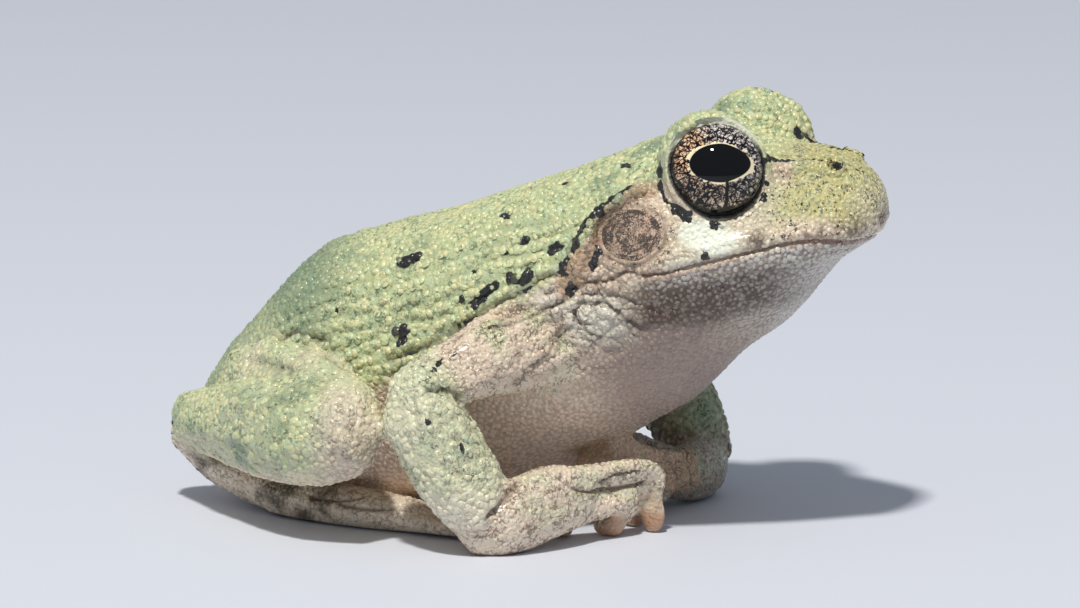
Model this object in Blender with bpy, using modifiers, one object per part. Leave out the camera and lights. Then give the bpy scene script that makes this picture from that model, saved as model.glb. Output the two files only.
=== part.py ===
"""A gray tree frog at life size, sitting with its legs folded, as a still museum model.

The head and trunk are lofted as one form and the limbs as bent tapering tubes, and thin
gaps part them into the pieces that a person would name. Sizes are in millimetres until
they reach a mesh, which is in metres. +X is the way the frog faces, +Y its left, +Z up.
"""

import math

import bmesh
import bpy
from mathutils import Matrix, Vector
from mathutils.bvhtree import BVHTree

MM = 0.001
GAP = 0.3
SMALLEST = 0.003
UPWARD = Vector((0.0, 0.0, 1.0))
RIGHT = -1.0
LEFT = 1.0

SKIN_GREEN = (0.45, 0.52, 0.28)
SKIN_PALE = (0.62, 0.55, 0.44)
EYE_BRONZE = (0.20, 0.15, 0.10)
EARDRUM_TAN = (0.42, 0.33, 0.26)

# Sections of the head and trunk from snout to vent: distance ahead of the mid body, half
# width, top, bottom, height of the widest level, and how square the upper and the lower
# half are (2 is an ellipse). The belly is a little below the floor, which flattens it.
TRUNK = (
    (19.80, 1.10, 18.95, 17.45, 18.10, 2.0, 2.0),
    (19.35, 2.30, 19.80, 16.85, 17.60, 2.0, 2.0),
    (18.50, 3.40, 20.65, 16.00, 17.10, 1.9, 2.0),
    (17.00, 4.50, 21.15, 14.90, 16.80, 1.8, 2.0),
    (14.50, 5.95, 21.60, 11.80, 16.60, 1.75, 2.0),
    (11.80, 6.95, 21.95, 9.80, 16.20, 1.9, 2.0),
    (9.00, 7.50, 21.95, 6.95, 15.40, 2.1, 2.0),
    (6.00, 7.60, 21.15, 5.25, 14.00, 2.2, 2.0),
    (3.00, 7.90, 19.80, 3.40, 12.40, 2.2, 2.0),
    (-1.00, 8.40, 18.25, 1.10, 10.30, 2.2, 2.1),
    (-5.00, 8.40, 16.80, -0.20, 9.00, 2.2, 2.2),
    (-9.00, 7.90, 15.60, -0.35, 8.30, 2.1, 2.2),
    (-12.60, 6.90, 14.35, 0.10, 7.70, 2.0, 2.1),
    (-15.20, 5.80, 11.85, 1.00, 6.60, 2.0, 2.0),
    (-17.80, 4.40, 9.00, 2.20, 5.60, 2.0, 2.0),
    (-19.60, 2.60, 6.60, 3.20, 4.90, 2.0, 2.0),
)
TRUNK_SIDES = 40
TRUNK_STEPS = 3

# The head is turned a little to the frog's left about the neck.
HEAD_YAW = math.radians(6.0)
YAW_FROM = 1.0
YAW_TO = 9.0
YAW_PIVOT = 5.0
NECK_TOP = (5.0, 22.0)
NECK_BOTTOM = (7.6, 4.0)

EYE_CENTRE = (11.60, 4.67, 20.53)
EYE_RADIUS = 2.60
EYE_RIM = 2.50
EYE_DEPTH = 1.50
EYE_FORWARD = math.radians(24.0)
EYE_UP = math.radians(16.0)
BROW_CENTRE = (11.10, 4.20, 21.00)
BROW_RADIUS = 2.80
LID_THICKNESS = 0.18

EARDRUM_PLACE = (7.70, 17.30)
EARDRUM_RADIUS = 1.30
EARDRUM_THICKNESS = 0.60
NOSTRIL_PLACE = (17.40, 1.60, 20.80)
NOSTRIL_RADIUS = 0.30

# Lines on the side of the head, as distance ahead and height. Each is laid on the skin.
MOUTH_LINE = ((8.85, 15.40), (11.55, 16.00), (14.50, 16.70), (17.20, 16.90), (18.80, 16.80))
MOUTH_FRONT = 19.50
MOUTH_WIDTH = 0.32
LIP_RISE = 0.45
LIP_RADIUS = 0.42
EAR_FOLD = ((9.30, 20.60), (8.00, 19.60), (6.50, 18.70), (5.60, 17.20), (5.00, 15.20))
EAR_FOLD_RADIUS = 0.65
SNOUT_RIDGE = ((14.60, 3.40, 21.00), (16.00, 2.40, 20.95), (17.30, 1.70, 20.70))
SNOUT_RIDGE_RADIUS = 0.55

# Limb rows hold a point of the middle line, half the thickness across and half the height.
UPPER_ARM_RIGHT = (
    (3.6, -5.7, 10.8, 2.2, 2.6),
    (2.0, -8.0, 10.7, 2.0, 2.4),
    (0.2, -10.2, 9.9, 1.75, 2.0),
    (-1.3, -11.5, 9.1, 1.6, 1.7),
)
FOREARM_RIGHT = (
    (-1.7, -12.0, 8.8, 1.9, 1.9),
    (-1.3, -12.0, 7.2, 2.35, 2.4),
    (-0.5, -11.8, 5.4, 2.45, 2.45),
    (0.6, -11.5, 3.7, 2.3, 2.3),
    (1.3, -11.2, 2.4, 2.0, 1.9),
)
PALM_RIGHT = (
    (1.5, -11.1, 1.7, 1.6, 1.9),
    (2.8, -10.2, 1.9, 1.6, 2.1),
    (4.3, -8.4, 2.6, 1.35, 2.05),
    (5.3, -6.7, 2.6, 1.05, 1.75),
)
DIGITS_RIGHT = (
    ((4.7, -7.9, 3.7, 0.80), (6.2, -5.5, 3.75, 0.65), (7.5, -3.5, 3.85, 0.55),
     (8.2, -2.5, 3.3, 0.48), (8.0, -2.4, 1.9, 0.42)),
    ((4.8, -7.3, 2.9, 0.70), (6.3, -4.9, 2.85, 0.50), (7.4, -3.1, 2.85, 0.45),
     (7.2, -2.0, 1.9, 0.40), (6.6, -1.8, 1.1, 0.40)),
    ((4.6, -7.8, 1.8, 0.85), (6.0, -5.6, 1.85, 0.75), (7.1, -4.0, 2.0, 0.60),
     (6.9, -3.7, 1.2, 0.45), (6.3, -4.0, 0.6, 0.42)),
    ((4.0, -8.5, 1.1, 0.70), (4.2, -7.0, 0.8, 0.50), (3.9, -5.9, 0.5, 0.42)),
)
DISCS_RIGHT = (
    ((7.8, -2.4, 1.05), (0.85, 0.42, 1.20)),
    ((6.3, -1.4, 0.75), (0.85, 0.50, 0.90)),
    ((5.95, -4.2, 0.55), (1.05, 0.55, 0.70)),
    ((3.8, -5.5, 0.38), (0.70, 0.75, 0.45)),
)
UPPER_ARM_LEFT = (
    (3.4, 5.8, 10.8, 2.2, 2.6),
    (2.8, 8.2, 10.5, 2.0, 2.3),
    (1.8, 10.4, 9.5, 1.75, 1.9),
    (1.0, 11.5, 8.8, 1.6, 1.7),
)
FOREARM_LEFT = (
    (0.8, 12.0, 8.6, 1.9, 1.9),
    (1.8, 11.7, 7.0, 2.35, 2.4),
    (3.3, 10.7, 5.2, 2.4, 2.4),
    (4.8, 9.6, 3.6, 2.1, 2.2),
    (5.8, 8.8, 2.3, 1.9, 1.9),
)
PALM_LEFT = (
    (6.0, 8.6, 1.7, 1.6, 1.9),
    (6.5, 7.2, 1.7, 1.5, 1.9),
    (6.6, 5.6, 1.8, 1.35, 1.75),
    (6.3, 4.2, 1.7, 1.05, 1.35),
)
DIGITS_LEFT = (
    ((6.0, 5.4, 2.4, 0.75), (5.0, 4.5, 3.2, 0.55), (4.0, 3.8, 3.8, 0.48),
     (3.3, 3.3, 3.9, 0.42)),
    ((6.5, 4.9, 1.8, 0.75), (6.7, 3.2, 1.7, 0.60), (6.5, 1.8, 1.2, 0.50),
     (6.2, 1.2, 0.7, 0.42)),
    ((6.1, 4.8, 1.3, 0.75), (5.6, 3.0, 1.1, 0.58), (4.9, 1.4, 0.7, 0.45)),
    ((5.6, 5.6, 1.1, 0.70), (4.6, 4.6, 0.8, 0.52), (3.6, 3.8, 0.5, 0.42)),
)
DISCS_LEFT = (
    ((3.1, 3.1, 3.95), (0.90, 0.55, 0.75)),
    ((6.1, 0.8, 0.45), (0.80, 0.90, 0.50)),
    ((4.7, 1.0, 0.45), (0.80, 0.90, 0.50)),
    ((3.3, 3.5, 0.40), (0.75, 0.75, 0.45)),
)
THIGH = (
    (-15.0, 4.2, 7.1, 2.2, 2.5),
    (-13.2, 5.5, 7.3, 2.5, 2.6),
    (-11.0, 7.3, 7.4, 2.5, 2.5),
    (-8.2, 9.8, 7.1, 2.3, 2.3),
    (-6.2, 11.6, 6.8, 2.0, 2.1),
)
SHANK = (
    (-6.1, 12.6, 6.2, 2.1, 2.5),
    (-8.0, 12.0, 5.9, 2.5, 2.9),
    (-10.6, 10.5, 5.6, 2.6, 3.0),
    (-13.8, 8.5, 5.3, 2.2, 2.6),
    (-16.8, 6.4, 4.9, 1.7, 2.0),
    (-18.8, 5.0, 4.7, 1.4, 1.5),
)
TARSUS = (
    (-19.0, 4.7, 3.6, 1.2, 1.2),
    (-17.2, 4.8, 2.4, 1.40, 1.45),
    (-14.2, 5.5, 1.4, 1.60, 1.45),
    (-10.6, 6.6, 1.0, 1.70, 1.35),
    (-7.2, 7.1, 0.9, 1.75, 1.20),
    (-4.6, 7.2, 0.8, 1.65, 1.05),
)
TOES = (
    ((-6.2, 6.0, 0.8, 0.70), (-4.8, 5.4, 0.6, 0.52), (-3.6, 5.0, 0.5, 0.42)),
    ((-5.2, 6.4, 0.8, 0.70), (-3.2, 5.5, 0.6, 0.52), (-1.6, 4.6, 0.5, 0.42)),
    ((-4.6, 6.8, 0.8, 0.75), (-2.0, 6.2, 0.6, 0.55), (0.4, 5.3, 0.5, 0.42)),
    ((-4.6, 7.3, 0.8, 0.75), (-1.4, 7.3, 0.6, 0.55), (1.2, 6.7, 0.5, 0.42)),
    ((-4.8, 7.9, 0.7, 0.70), (-2.4, 8.5, 0.6, 0.52), (-0.6, 8.5, 0.5, 0.42)),
)
TOE_DISC = (0.85, 0.85, 0.45)
WEB_HEIGHT = 0.40
WEB_HALF = 0.32

BODY_TRIANGLES = 4200
HAND_TRIANGLES = 1100
FOOT_TRIANGLES = 1100
BODY_VOXEL = 0.30
DIGIT_VOXEL = 0.16


def clear_scene():
    """Removes what the startup scene holds."""
    for item in list(bpy.data.objects):
        bpy.data.objects.remove(item)


def new_collection(name):
    """A new collection in the scene."""
    made = bpy.data.collections.new(name)
    bpy.context.scene.collection.children.link(made)
    return made


def new_material(name, colour, roughness):
    """A plain coloured surface."""
    made = bpy.data.materials.new(name)
    made.use_nodes = True
    surface = made.node_tree.nodes["Principled BSDF"]
    surface.inputs["Base Color"].default_value = (*colour, 1.0)
    surface.inputs["Roughness"].default_value = roughness
    surface.inputs["Metallic"].default_value = 0.0
    return made


def object_of(name, shape, group):
    """A mesh object made from a bmesh, whose faces are turned outwards."""
    shape.normal_update()
    bmesh.ops.recalc_face_normals(shape, faces=shape.faces)
    mesh = bpy.data.meshes.new(name)
    shape.to_mesh(mesh)
    shape.free()
    made = bpy.data.objects.new(name, mesh)
    group.objects.link(made)
    return made


def evaluated(item):
    """Applies an object's modifiers."""
    bpy.context.view_layer.update()
    graph = bpy.context.evaluated_depsgraph_get()
    mesh = bpy.data.meshes.new_from_object(item.evaluated_get(graph))
    old = item.data
    item.modifiers.clear()
    item.data = mesh
    bpy.data.meshes.remove(old)


def smooth_step(t):
    """Eases from 0 to 1."""
    t = max(0.0, min(1.0, t))
    return t * t * (3.0 - 2.0 * t)


def spline(before, here, ahead, beyond, t):
    """The smooth curve through here and ahead, at t between them."""
    return 0.5 * (
        2 * here
        + (ahead - before) * t
        + (2 * before - 5 * here + 4 * ahead - beyond) * t * t
        + (3 * here - before - 3 * ahead + beyond) * t ** 3
    )


def through(rows, steps):
    """Rows of numbers, with more rows read along the smooth curve through them."""
    found = []
    last = len(rows) - 1
    for i in range(last):
        four = (rows[max(i - 1, 0)], rows[i], rows[i + 1], rows[min(i + 2, last)])
        for k in range(steps):
            found.append([spline(*column, k / steps) for column in zip(*four)])
    found.append(list(rows[last]))
    return found


def loft(name, rings, group):
    """A closed skin over rings of points, with a point at the middle of each end ring."""
    shape = bmesh.new()
    levels = [[shape.verts.new(Vector(p) * MM) for p in ring] for ring in rings]
    count = len(levels[0])
    for low, high in zip(levels, levels[1:]):
        for i in range(count):
            j = (i + 1) % count
            shape.faces.new((low[i], low[j], high[j], high[i]))
    for ring in (levels[0], levels[-1]):
        middle = shape.verts.new(sum((v.co for v in ring), Vector()) / count)
        for i in range(count):
            shape.faces.new((ring[i], ring[(i + 1) % count], middle))
    return object_of(name, shape, group)


def trunk_ring(row):
    """One section of the trunk, whose upper and lower halves have their own roundness."""
    x, half, top, bottom, widest, upper, lower = row
    ring = []
    for i in range(TRUNK_SIDES):
        angle = 2 * math.pi * i / TRUNK_SIDES
        above = math.sin(angle) >= 0
        power = 2 / (upper if above else lower)
        height = top - widest if above else widest - bottom
        across = math.copysign(abs(math.cos(angle)) ** power, math.cos(angle))
        rise = math.copysign(abs(math.sin(angle)) ** power, math.sin(angle))
        ring.append((x, half * across, widest + height * rise))
    return ring


def limb(name, rows, group, sides=16, steps=3):
    """A bent tube with rounded ends, through rows of place, thickness and height."""
    path = through(rows, steps)
    last = len(path) - 1
    rings = []
    side = Vector()
    for i, (x, y, z, thick, tall) in enumerate(path):
        ahead = Vector(path[min(i + 1, last)][:3]) - Vector(path[max(i - 1, 0)][:3])
        ahead.normalize()
        side = side - ahead * side.dot(ahead) if i else ahead.cross(UPWARD)
        side.normalize()
        over = side.cross(ahead)
        turns = [(0.0, 1.0)]
        if i == 0:
            turns = [(-math.sin(a), math.cos(a)) for a in (1.25, 0.80, 0.40)] + turns
        if i == last:
            turns += [(math.sin(a), math.cos(a)) for a in (0.40, 0.80, 1.25)]
        for forward, shrink in turns:
            centre = Vector((x, y, z)) + ahead * forward * min(thick, tall)
            ring = []
            for k in range(sides):
                angle = 2 * math.pi * k / sides
                across = side * thick * shrink * math.cos(angle)
                rise = over * tall * shrink * math.sin(angle)
                ring.append(centre + across + rise)
            rings.append(ring)
    return loft(name, rings, group)


def ball(name, centre, radii, group, sides=28):
    """A sphere, stretched along the axes."""
    shape = bmesh.new()
    bmesh.ops.create_uvsphere(shape, u_segments=sides, v_segments=sides // 2, radius=1.0)
    size = Matrix.Diagonal((*(r * MM for r in radii), 1.0))
    shape.transform(Matrix.Translation(Vector(centre) * MM) @ size)
    return object_of(name, shape, group)


def rod(name, radius, low, high, place, group):
    """A cylinder along the Z axis of a place, between two heights on it."""
    shape = bmesh.new()
    bmesh.ops.create_cone(
        shape,
        cap_ends=True,
        segments=36,
        radius1=radius * MM,
        radius2=radius * MM,
        depth=(high - low) * MM,
    )
    shape.transform(place @ Matrix.Translation((0.0, 0.0, (low + high) / 2 * MM)))
    return object_of(name, shape, group)


def block(name, low, high, group):
    """A box between two corners."""
    shape = bmesh.new()
    bmesh.ops.create_cube(shape, size=1.0)
    size = Matrix.Diagonal((*((b - a) * MM for a, b in zip(low, high)), 1.0))
    middle = Vector([(a + b) / 2 * MM for a, b in zip(low, high)])
    shape.transform(Matrix.Translation(middle) @ size)
    return object_of(name, shape, group)


def turned(name, profile, place, group, steps=24):
    """A round piece: a profile of radius and height, from its top to its foot, spun."""
    shape = bmesh.new()
    points = [shape.verts.new((r * MM, 0.0, z * MM)) for r, z in profile]
    for first, second in zip(points, points[1:]):
        shape.edges.new((first, second))
    mesh = bpy.data.meshes.new(name)
    shape.to_mesh(mesh)
    shape.free()
    made = bpy.data.objects.new(name, mesh)
    group.objects.link(made)
    spin = made.modifiers.new("spin", "SCREW")
    spin.steps = steps
    spin.render_steps = steps
    spin.use_merge_vertices = True
    spin.merge_threshold = 0.000001
    evaluated(made)
    shape = bmesh.new()
    shape.from_mesh(made.data)
    bmesh.ops.recalc_face_normals(shape, faces=shape.faces)
    shape.transform(place)
    shape.to_mesh(made.data)
    shape.free()
    return made


def aimed(centre, direction):
    """The place at a centre whose Z axis points in a direction."""
    turn = Vector(direction).to_track_quat("Z", "Y").to_matrix().to_4x4()
    return Matrix.Translation(Vector(centre) * MM) @ turn


def islands_of(shape):
    """The separate surfaces of a bmesh, as sets of vertices."""
    left = set(shape.verts)
    found = []
    while left:
        island = {left.pop()}
        edge = list(island)
        while edge:
            for link in edge.pop().link_edges:
                fresh = left.intersection(link.verts)
                left.difference_update(fresh)
                island.update(fresh)
                edge.extend(fresh)
        found.append(island)
    return found


def spread(island):
    """The diagonal of the box round some vertices."""
    low = [min(v.co[i] for v in island) for i in range(3)]
    high = [max(v.co[i] for v in island) for i in range(3)]
    return math.dist(low, high)


def keep_largest(item):
    """Drops every separate surface but the widest."""
    shape = bmesh.new()
    shape.from_mesh(item.data)
    for island in sorted(islands_of(shape), key=spread, reverse=True)[1:]:
        bmesh.ops.delete(shape, geom=list(island), context="VERTS")
    shape.to_mesh(item.data)
    shape.free()


def thinned(item, triangles):
    """Lowers an object's count of triangles."""
    item.data.calc_loop_triangles()
    thin = item.modifiers.new("thin", "DECIMATE")
    thin.ratio = min(1.0, triangles / len(item.data.loop_triangles))
    evaluated(item)


def fused(name, items, voxel, rounds, triangles, group):
    """Joins forms that overlap into one skin with rounded joins."""
    whole = bmesh.new()
    for item in items:
        whole.from_mesh(item.data)
        bpy.data.objects.remove(item)
    made = object_of(name, whole, group)
    remesh = made.modifiers.new("fuse", "REMESH")
    remesh.mode = "VOXEL"
    remesh.voxel_size = voxel * MM
    smooth = made.modifiers.new("round", "SMOOTH")
    smooth.factor = 0.5
    smooth.iterations = rounds
    evaluated(made)
    keep_largest(made)
    thinned(made, triangles)
    cleaned(made)
    return made


def grown(item, group):
    """A copy that stands out by the gap on every side."""
    copy = bpy.data.objects.new(item.name + "_grown", item.data.copy())
    group.objects.link(copy)
    swell = copy.modifiers.new("swell", "DISPLACE")
    swell.direction = "NORMAL"
    swell.mid_level = 0.0
    swell.strength = GAP * MM
    clean = copy.modifiers.new("clean", "REMESH")
    clean.mode = "VOXEL"
    clean.voxel_size = GAP * MM
    evaluated(copy)
    keep_largest(copy)
    thinned(copy, len(item.data.polygons) * 0.6)
    return copy


def cleaned(item):
    """Merges points that a cut left closer together than a micrometre or two."""
    shape = bmesh.new()
    shape.from_mesh(item.data)
    bmesh.ops.triangulate(shape, faces=shape.faces)
    bmesh.ops.remove_doubles(shape, verts=shape.verts, dist=SMALLEST * MM)
    bmesh.ops.dissolve_degenerate(shape, edges=shape.edges, dist=SMALLEST * MM)
    bmesh.ops.triangulate(shape, faces=shape.faces)
    shape.to_mesh(item.data)
    shape.free()


def cut(item, cutter):
    """Takes a cutter away from an object, removes it and keeps the main piece."""
    boolean = item.modifiers.new("cut", "BOOLEAN")
    boolean.operation = "DIFFERENCE"
    boolean.solver = "EXACT"
    boolean.object = cutter
    evaluated(item)
    bpy.data.objects.remove(cutter)
    keep_largest(item)
    cleaned(item)


def make_room(item, neighbours, group):
    """Cuts an object clear of its neighbours by the gap."""
    for neighbour in neighbours:
        cut(item, grown(neighbour, group))


def turn_head(item):
    """Turns what lies ahead of the neck, more and more up to the full angle."""
    shape = bmesh.new()
    shape.from_mesh(item.data)
    pivot = Vector((YAW_PIVOT * MM, 0.0, 0.0))
    for point in shape.verts:
        share = smooth_step((point.co.x / MM - YAW_FROM) / (YAW_TO - YAW_FROM))
        turn = Matrix.Rotation(HEAD_YAW * share, 3, "Z")
        point.co = pivot + turn @ (point.co - pivot)
    shape.to_mesh(item.data)
    shape.free()


def mirrored(rows, side):
    """Limb rows of the left side, or the same on the right."""
    return tuple((row[0], side * row[1], *row[2:]) for row in rows)


def skin_finder(item):
    """A search tree over an object's faces."""
    shape = bmesh.new()
    shape.from_mesh(item.data)
    tree = BVHTree.FromBMesh(shape)
    shape.free()
    return tree


def on_side(tree, x, z, side, sunk=0.0):
    """The point of the skin at a place seen from the side, sunk by a depth."""
    start = Vector((x, side * 30.0, z)) * MM
    point, normal, _, _ = tree.ray_cast(start, Vector((0.0, -side, 0.0)))
    return point / MM - normal * sunk, normal


def mouth_path(tree, rise, sunk):
    """The line of the mouth laid on the skin, from its right corner to its left one."""
    sides = {}
    for side in (RIGHT, LEFT):
        rows = through(MOUTH_LINE, 3)
        sides[side] = [on_side(tree, x, z + rise, side, sunk)[0] for x, z in rows]
    level = MOUTH_LINE[-1][1] + rise
    front, _, _, _ = tree.ray_cast(Vector((40.0, 0.0, level)) * MM, Vector((-1.0, 0.0, 0.0)))
    tip = front / MM - Vector((sunk, 0.0, 0.0))
    return [*sides[RIGHT], tip, *reversed(sides[LEFT])]


def eye_place(side):
    """The middle of an eye, with its Z axis looking out of it."""
    level = math.cos(EYE_UP)
    across = side * math.cos(EYE_FORWARD) * level
    look = (math.sin(EYE_FORWARD) * level, across, math.sin(EYE_UP))
    centre = (EYE_CENTRE[0], side * EYE_CENTRE[1], EYE_CENTRE[2])
    return aimed(centre, look)


def rim_height():
    """How far out of an eye's middle its rim lies."""
    return math.sqrt(EYE_RADIUS ** 2 - EYE_RIM ** 2)


def make_body(group):
    """The head and trunk in one, with brows, lids, lips and folds, facing straight on."""
    trunk = loft("trunk", [trunk_ring(row) for row in through(TRUNK, TRUNK_STEPS)], group)
    tree = skin_finder(trunk)
    forms = [trunk]
    lip = [(*point, LIP_RADIUS, LIP_RADIUS) for point in mouth_path(tree, LIP_RISE, 0.2)]
    forms.append(limb("lip", lip, group, 10, 1))
    for side in (RIGHT, LEFT):
        brow = (BROW_CENTRE[0], side * BROW_CENTRE[1], BROW_CENTRE[2])
        forms.append(ball("brow", brow, (BROW_RADIUS,) * 3, group))
        lid = (EYE_CENTRE[0], side * EYE_CENTRE[1], EYE_CENTRE[2])
        forms.append(ball("lid", lid, (EYE_RIM + GAP + LID_THICKNESS,) * 3, group))
        nostril = (NOSTRIL_PLACE[0], side * NOSTRIL_PLACE[1], NOSTRIL_PLACE[2] - 0.3)
        forms.append(ball("nostril", nostril, (0.75, 0.65, 0.55), group))
        ridge = [(x, side * y, z - 0.3, SNOUT_RIDGE_RADIUS, SNOUT_RIDGE_RADIUS)
                 for x, y, z in SNOUT_RIDGE]
        forms.append(limb("ridge", ridge, group, 10, 2))
        fold = []
        for x, z in through(EAR_FOLD, 2):
            point, _ = on_side(tree, x, z, side, 0.25)
            fold.append((*point, EAR_FOLD_RADIUS, EAR_FOLD_RADIUS))
        forms.append(limb("fold", fold, group, 10, 1))
    return fused("body", forms, BODY_VOXEL, 3, BODY_TRIANGLES, group)


def make_eyes(body, group, cutters):
    """Cuts a socket on each side and returns the two eyes, domes with a flat back."""
    rim = rim_height()
    back = rim - EYE_DEPTH
    arc = [math.asin(EYE_RIM / EYE_RADIUS) * k / 6 for k in range(7)]
    profile = [(EYE_RADIUS * math.sin(a), EYE_RADIUS * math.cos(a)) for a in arc]
    profile += [(EYE_RIM, (rim + back) / 2), (EYE_RIM, back), (0.0, back)]
    eyes = []
    for side, name in ((RIGHT, "eye_right"), (LEFT, "eye_left")):
        place = eye_place(side)
        cut(body, rod("socket", EYE_RIM + GAP, back - GAP, 8.0, place, cutters))
        eyes.append(turned(name, profile, place, group))
    return eyes


def make_eardrums(body, group, cutters):
    """Sinks a round recess behind each eye and returns the two eardrums."""
    half = EARDRUM_THICKNESS / 2
    profile = (
        (0.0, half - 0.10),
        (0.6, half - 0.12),
        (0.95, half - 0.02),
        (1.18, half),
        (EARDRUM_RADIUS, half - 0.15),
        (EARDRUM_RADIUS, -half),
        (0.0, -half),
    )
    drums = []
    tree = skin_finder(body)
    for side, name in ((RIGHT, "eardrum_right"), (LEFT, "eardrum_left")):
        point, normal = on_side(tree, *EARDRUM_PLACE, side, half)
        place = aimed(point, normal)
        recess = rod("recess", EARDRUM_RADIUS + GAP, -half - GAP, 4.0, place, cutters)
        cut(body, recess)
        drums.append(turned(name, profile, place, group, 16))
    return drums


def open_face(body, cutters):
    """Cuts the line of the mouth and the two nostrils."""
    tree = skin_finder(body)
    groove = [(*point, 0.50, MOUTH_WIDTH / 2) for point in mouth_path(tree, 0.0, 0.0)]
    cut(body, limb("mouth", groove, cutters, 8, 1))
    for side in (RIGHT, LEFT):
        above = Vector((NOSTRIL_PLACE[0], side * NOSTRIL_PLACE[1], 40.0)) * MM
        point, normal, _, _ = tree.ray_cast(above, Vector((0.0, 0.0, -1.0)))
        cut(body, ball("hole", point / MM, (NOSTRIL_RADIUS,) * 3, cutters, 10))


def neck_cutter(ahead, group):
    """A block that fills one side of the slanting neck and half the gap."""
    top = Vector((NECK_TOP[0], 0.0, NECK_TOP[1]))
    foot = Vector((NECK_BOTTOM[0], 0.0, NECK_BOTTOM[1]))
    along = (top - foot).normalized()
    outward = Vector((along.z, 0.0, -along.x)) * (1.0 if ahead else -1.0)
    place = aimed((top + foot) / 2, outward)
    return rod("neck", 60.0, -GAP / 2, 60.0, place, group)


def make_head_and_torso(group, cutters):
    """The head and torso with the eyes and eardrums, parted at the neck."""
    body = make_body(group)
    eyes = make_eyes(body, group, cutters)
    drums = make_eardrums(body, group, cutters)
    open_face(body, cutters)
    torso = bpy.data.objects.new("torso", body.data.copy())
    group.objects.link(torso)
    cut(torso, neck_cutter(True, cutters))
    head = body
    head.name = "head"
    cut(head, neck_cutter(False, cutters))
    for item in (head, torso, *eyes, *drums):
        turn_head(item)
    return head, torso, eyes, drums


def make_paw(name, palm, digits, discs, webs, triangles, group):
    """A hand or foot: its palm, its digits with a disc at the end of each, and any web."""
    forms = [limb("palm", palm, group, 24, 4), *webs]
    for digit in digits:
        rows = [(x, y, z, r, r) for x, y, z, r in digit]
        forms.append(limb("digit", rows, group, 14, 4))
    for centre, radii in discs:
        forms.append(ball("disc", centre, radii, group))
    return fused(name, forms, DIGIT_VOXEL, 2, triangles, group)


def make_arm(word, upper, lower, palm, digits, discs, group, cutters):
    """One arm as three pieces, each seated in the one before it."""
    hand = make_paw("hand_" + word, palm, digits, discs, [], HAND_TRIANGLES, group)
    forearm = limb("forearm_" + word, lower, group)
    upper_arm = limb("upper_arm_" + word, upper, group)
    make_room(forearm, [hand], cutters)
    make_room(upper_arm, [forearm], cutters)
    return upper_arm, forearm, hand


def make_leg(word, side, group, cutters):
    """One folded hind leg as three pieces."""
    toes = [mirrored(toe, side) for toe in TOES]
    discs = [((toe[-1][0] + 0.5, toe[-1][1], 0.42), TOE_DISC) for toe in toes]
    webs = []
    for first, second in zip(toes, toes[1:]):
        web = []
        for one, other in zip(first[:2], second[:2]):
            middle = [(a + b) / 2 for a, b in zip(one, other)]
            web.append((middle[0], middle[1], WEB_HEIGHT, math.dist(one, other) / 2, WEB_HALF))
        webs.append(limb("web", web, group, 12, 3))
    foot = make_paw("foot_" + word, mirrored(TARSUS, side), toes, discs, webs,
                    FOOT_TRIANGLES, group)
    shank = limb("shank_" + word, mirrored(SHANK, side), group)
    thigh = limb("thigh_" + word, mirrored(THIGH, side), group)
    make_room(shank, [foot], cutters)
    make_room(thigh, [shank, foot], cutters)
    return thigh, shank, foot


def rest_on_floor(item, cutters):
    """Cuts off what lies below the floor, so that the piece stands on a flat."""
    cut(item, block("floor", (-60.0, -60.0, -20.0), (60.0, 60.0, 0.0), cutters))


def centre_all(items):
    """Moves every mesh so that the middle of the frog's base is the origin."""
    points = [v.co for item in items for v in item.data.vertices]
    middle = [(min(p[i] for p in points) + max(p[i] for p in points)) / 2 for i in (0, 1)]
    shift = Matrix.Translation((-middle[0], -middle[1], 0.0))
    for item in items:
        item.data.transform(shift)


def finish(item, surface):
    """Gives a piece its surface and smooth shading."""
    item.data.name = item.name
    item.data.materials.clear()
    item.data.materials.append(surface)
    item.data.shade_smooth()


def main():
    """Builds the frog."""
    clear_scene()
    frog = new_collection("gray_tree_frog")
    cutters = new_collection("cutters")
    head, torso, eyes, drums = make_head_and_torso(frog, cutters)
    right_arm = make_arm("right", UPPER_ARM_RIGHT, FOREARM_RIGHT, PALM_RIGHT,
                         DIGITS_RIGHT, DISCS_RIGHT, frog, cutters)
    left_arm = make_arm("left", UPPER_ARM_LEFT, FOREARM_LEFT, PALM_LEFT,
                        DIGITS_LEFT, DISCS_LEFT, frog, cutters)
    right_leg = make_leg("right", RIGHT, frog, cutters)
    left_leg = make_leg("left", LEFT, frog, cutters)
    limbs = [*right_arm, *left_arm, *right_leg, *left_leg]
    make_room(torso, limbs, cutters)
    for item in (torso, *limbs):
        rest_on_floor(item, cutters)
    for item in (head, torso, *limbs):
        pale = item.name.startswith(("hand", "foot"))
        colour = SKIN_PALE if pale else SKIN_GREEN
        finish(item, new_material(item.name + "_skin", colour, 0.45))
    for eye in eyes:
        finish(eye, new_material(eye.name + "_surface", EYE_BRONZE, 0.08))
    for drum in drums:
        finish(drum, new_material(drum.name + "_skin", EARDRUM_TAN, 0.5))
    centre_all([head, torso, *eyes, *drums, *limbs])


main()
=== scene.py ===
"""The looks of a still, life-size gray tree frog, resting on a plain pale floor.

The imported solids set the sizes. One skin is drawn over all the flesh, shaped with lids,
lips, folds and creases, coloured by region and covered with beads. The eyes and eardrums
are pieces of their own. Places are in millimetres in the model's frame, and +X is the
way the frog faces, +Y its left and +Z up. Meshes are in metres.
"""

import logging
import math
from dataclasses import dataclass, field
from enum import Enum

import bmesh
import bpy
import numpy as np
from mathutils import Matrix, Vector
from mathutils.bvhtree import BVHTree


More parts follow.
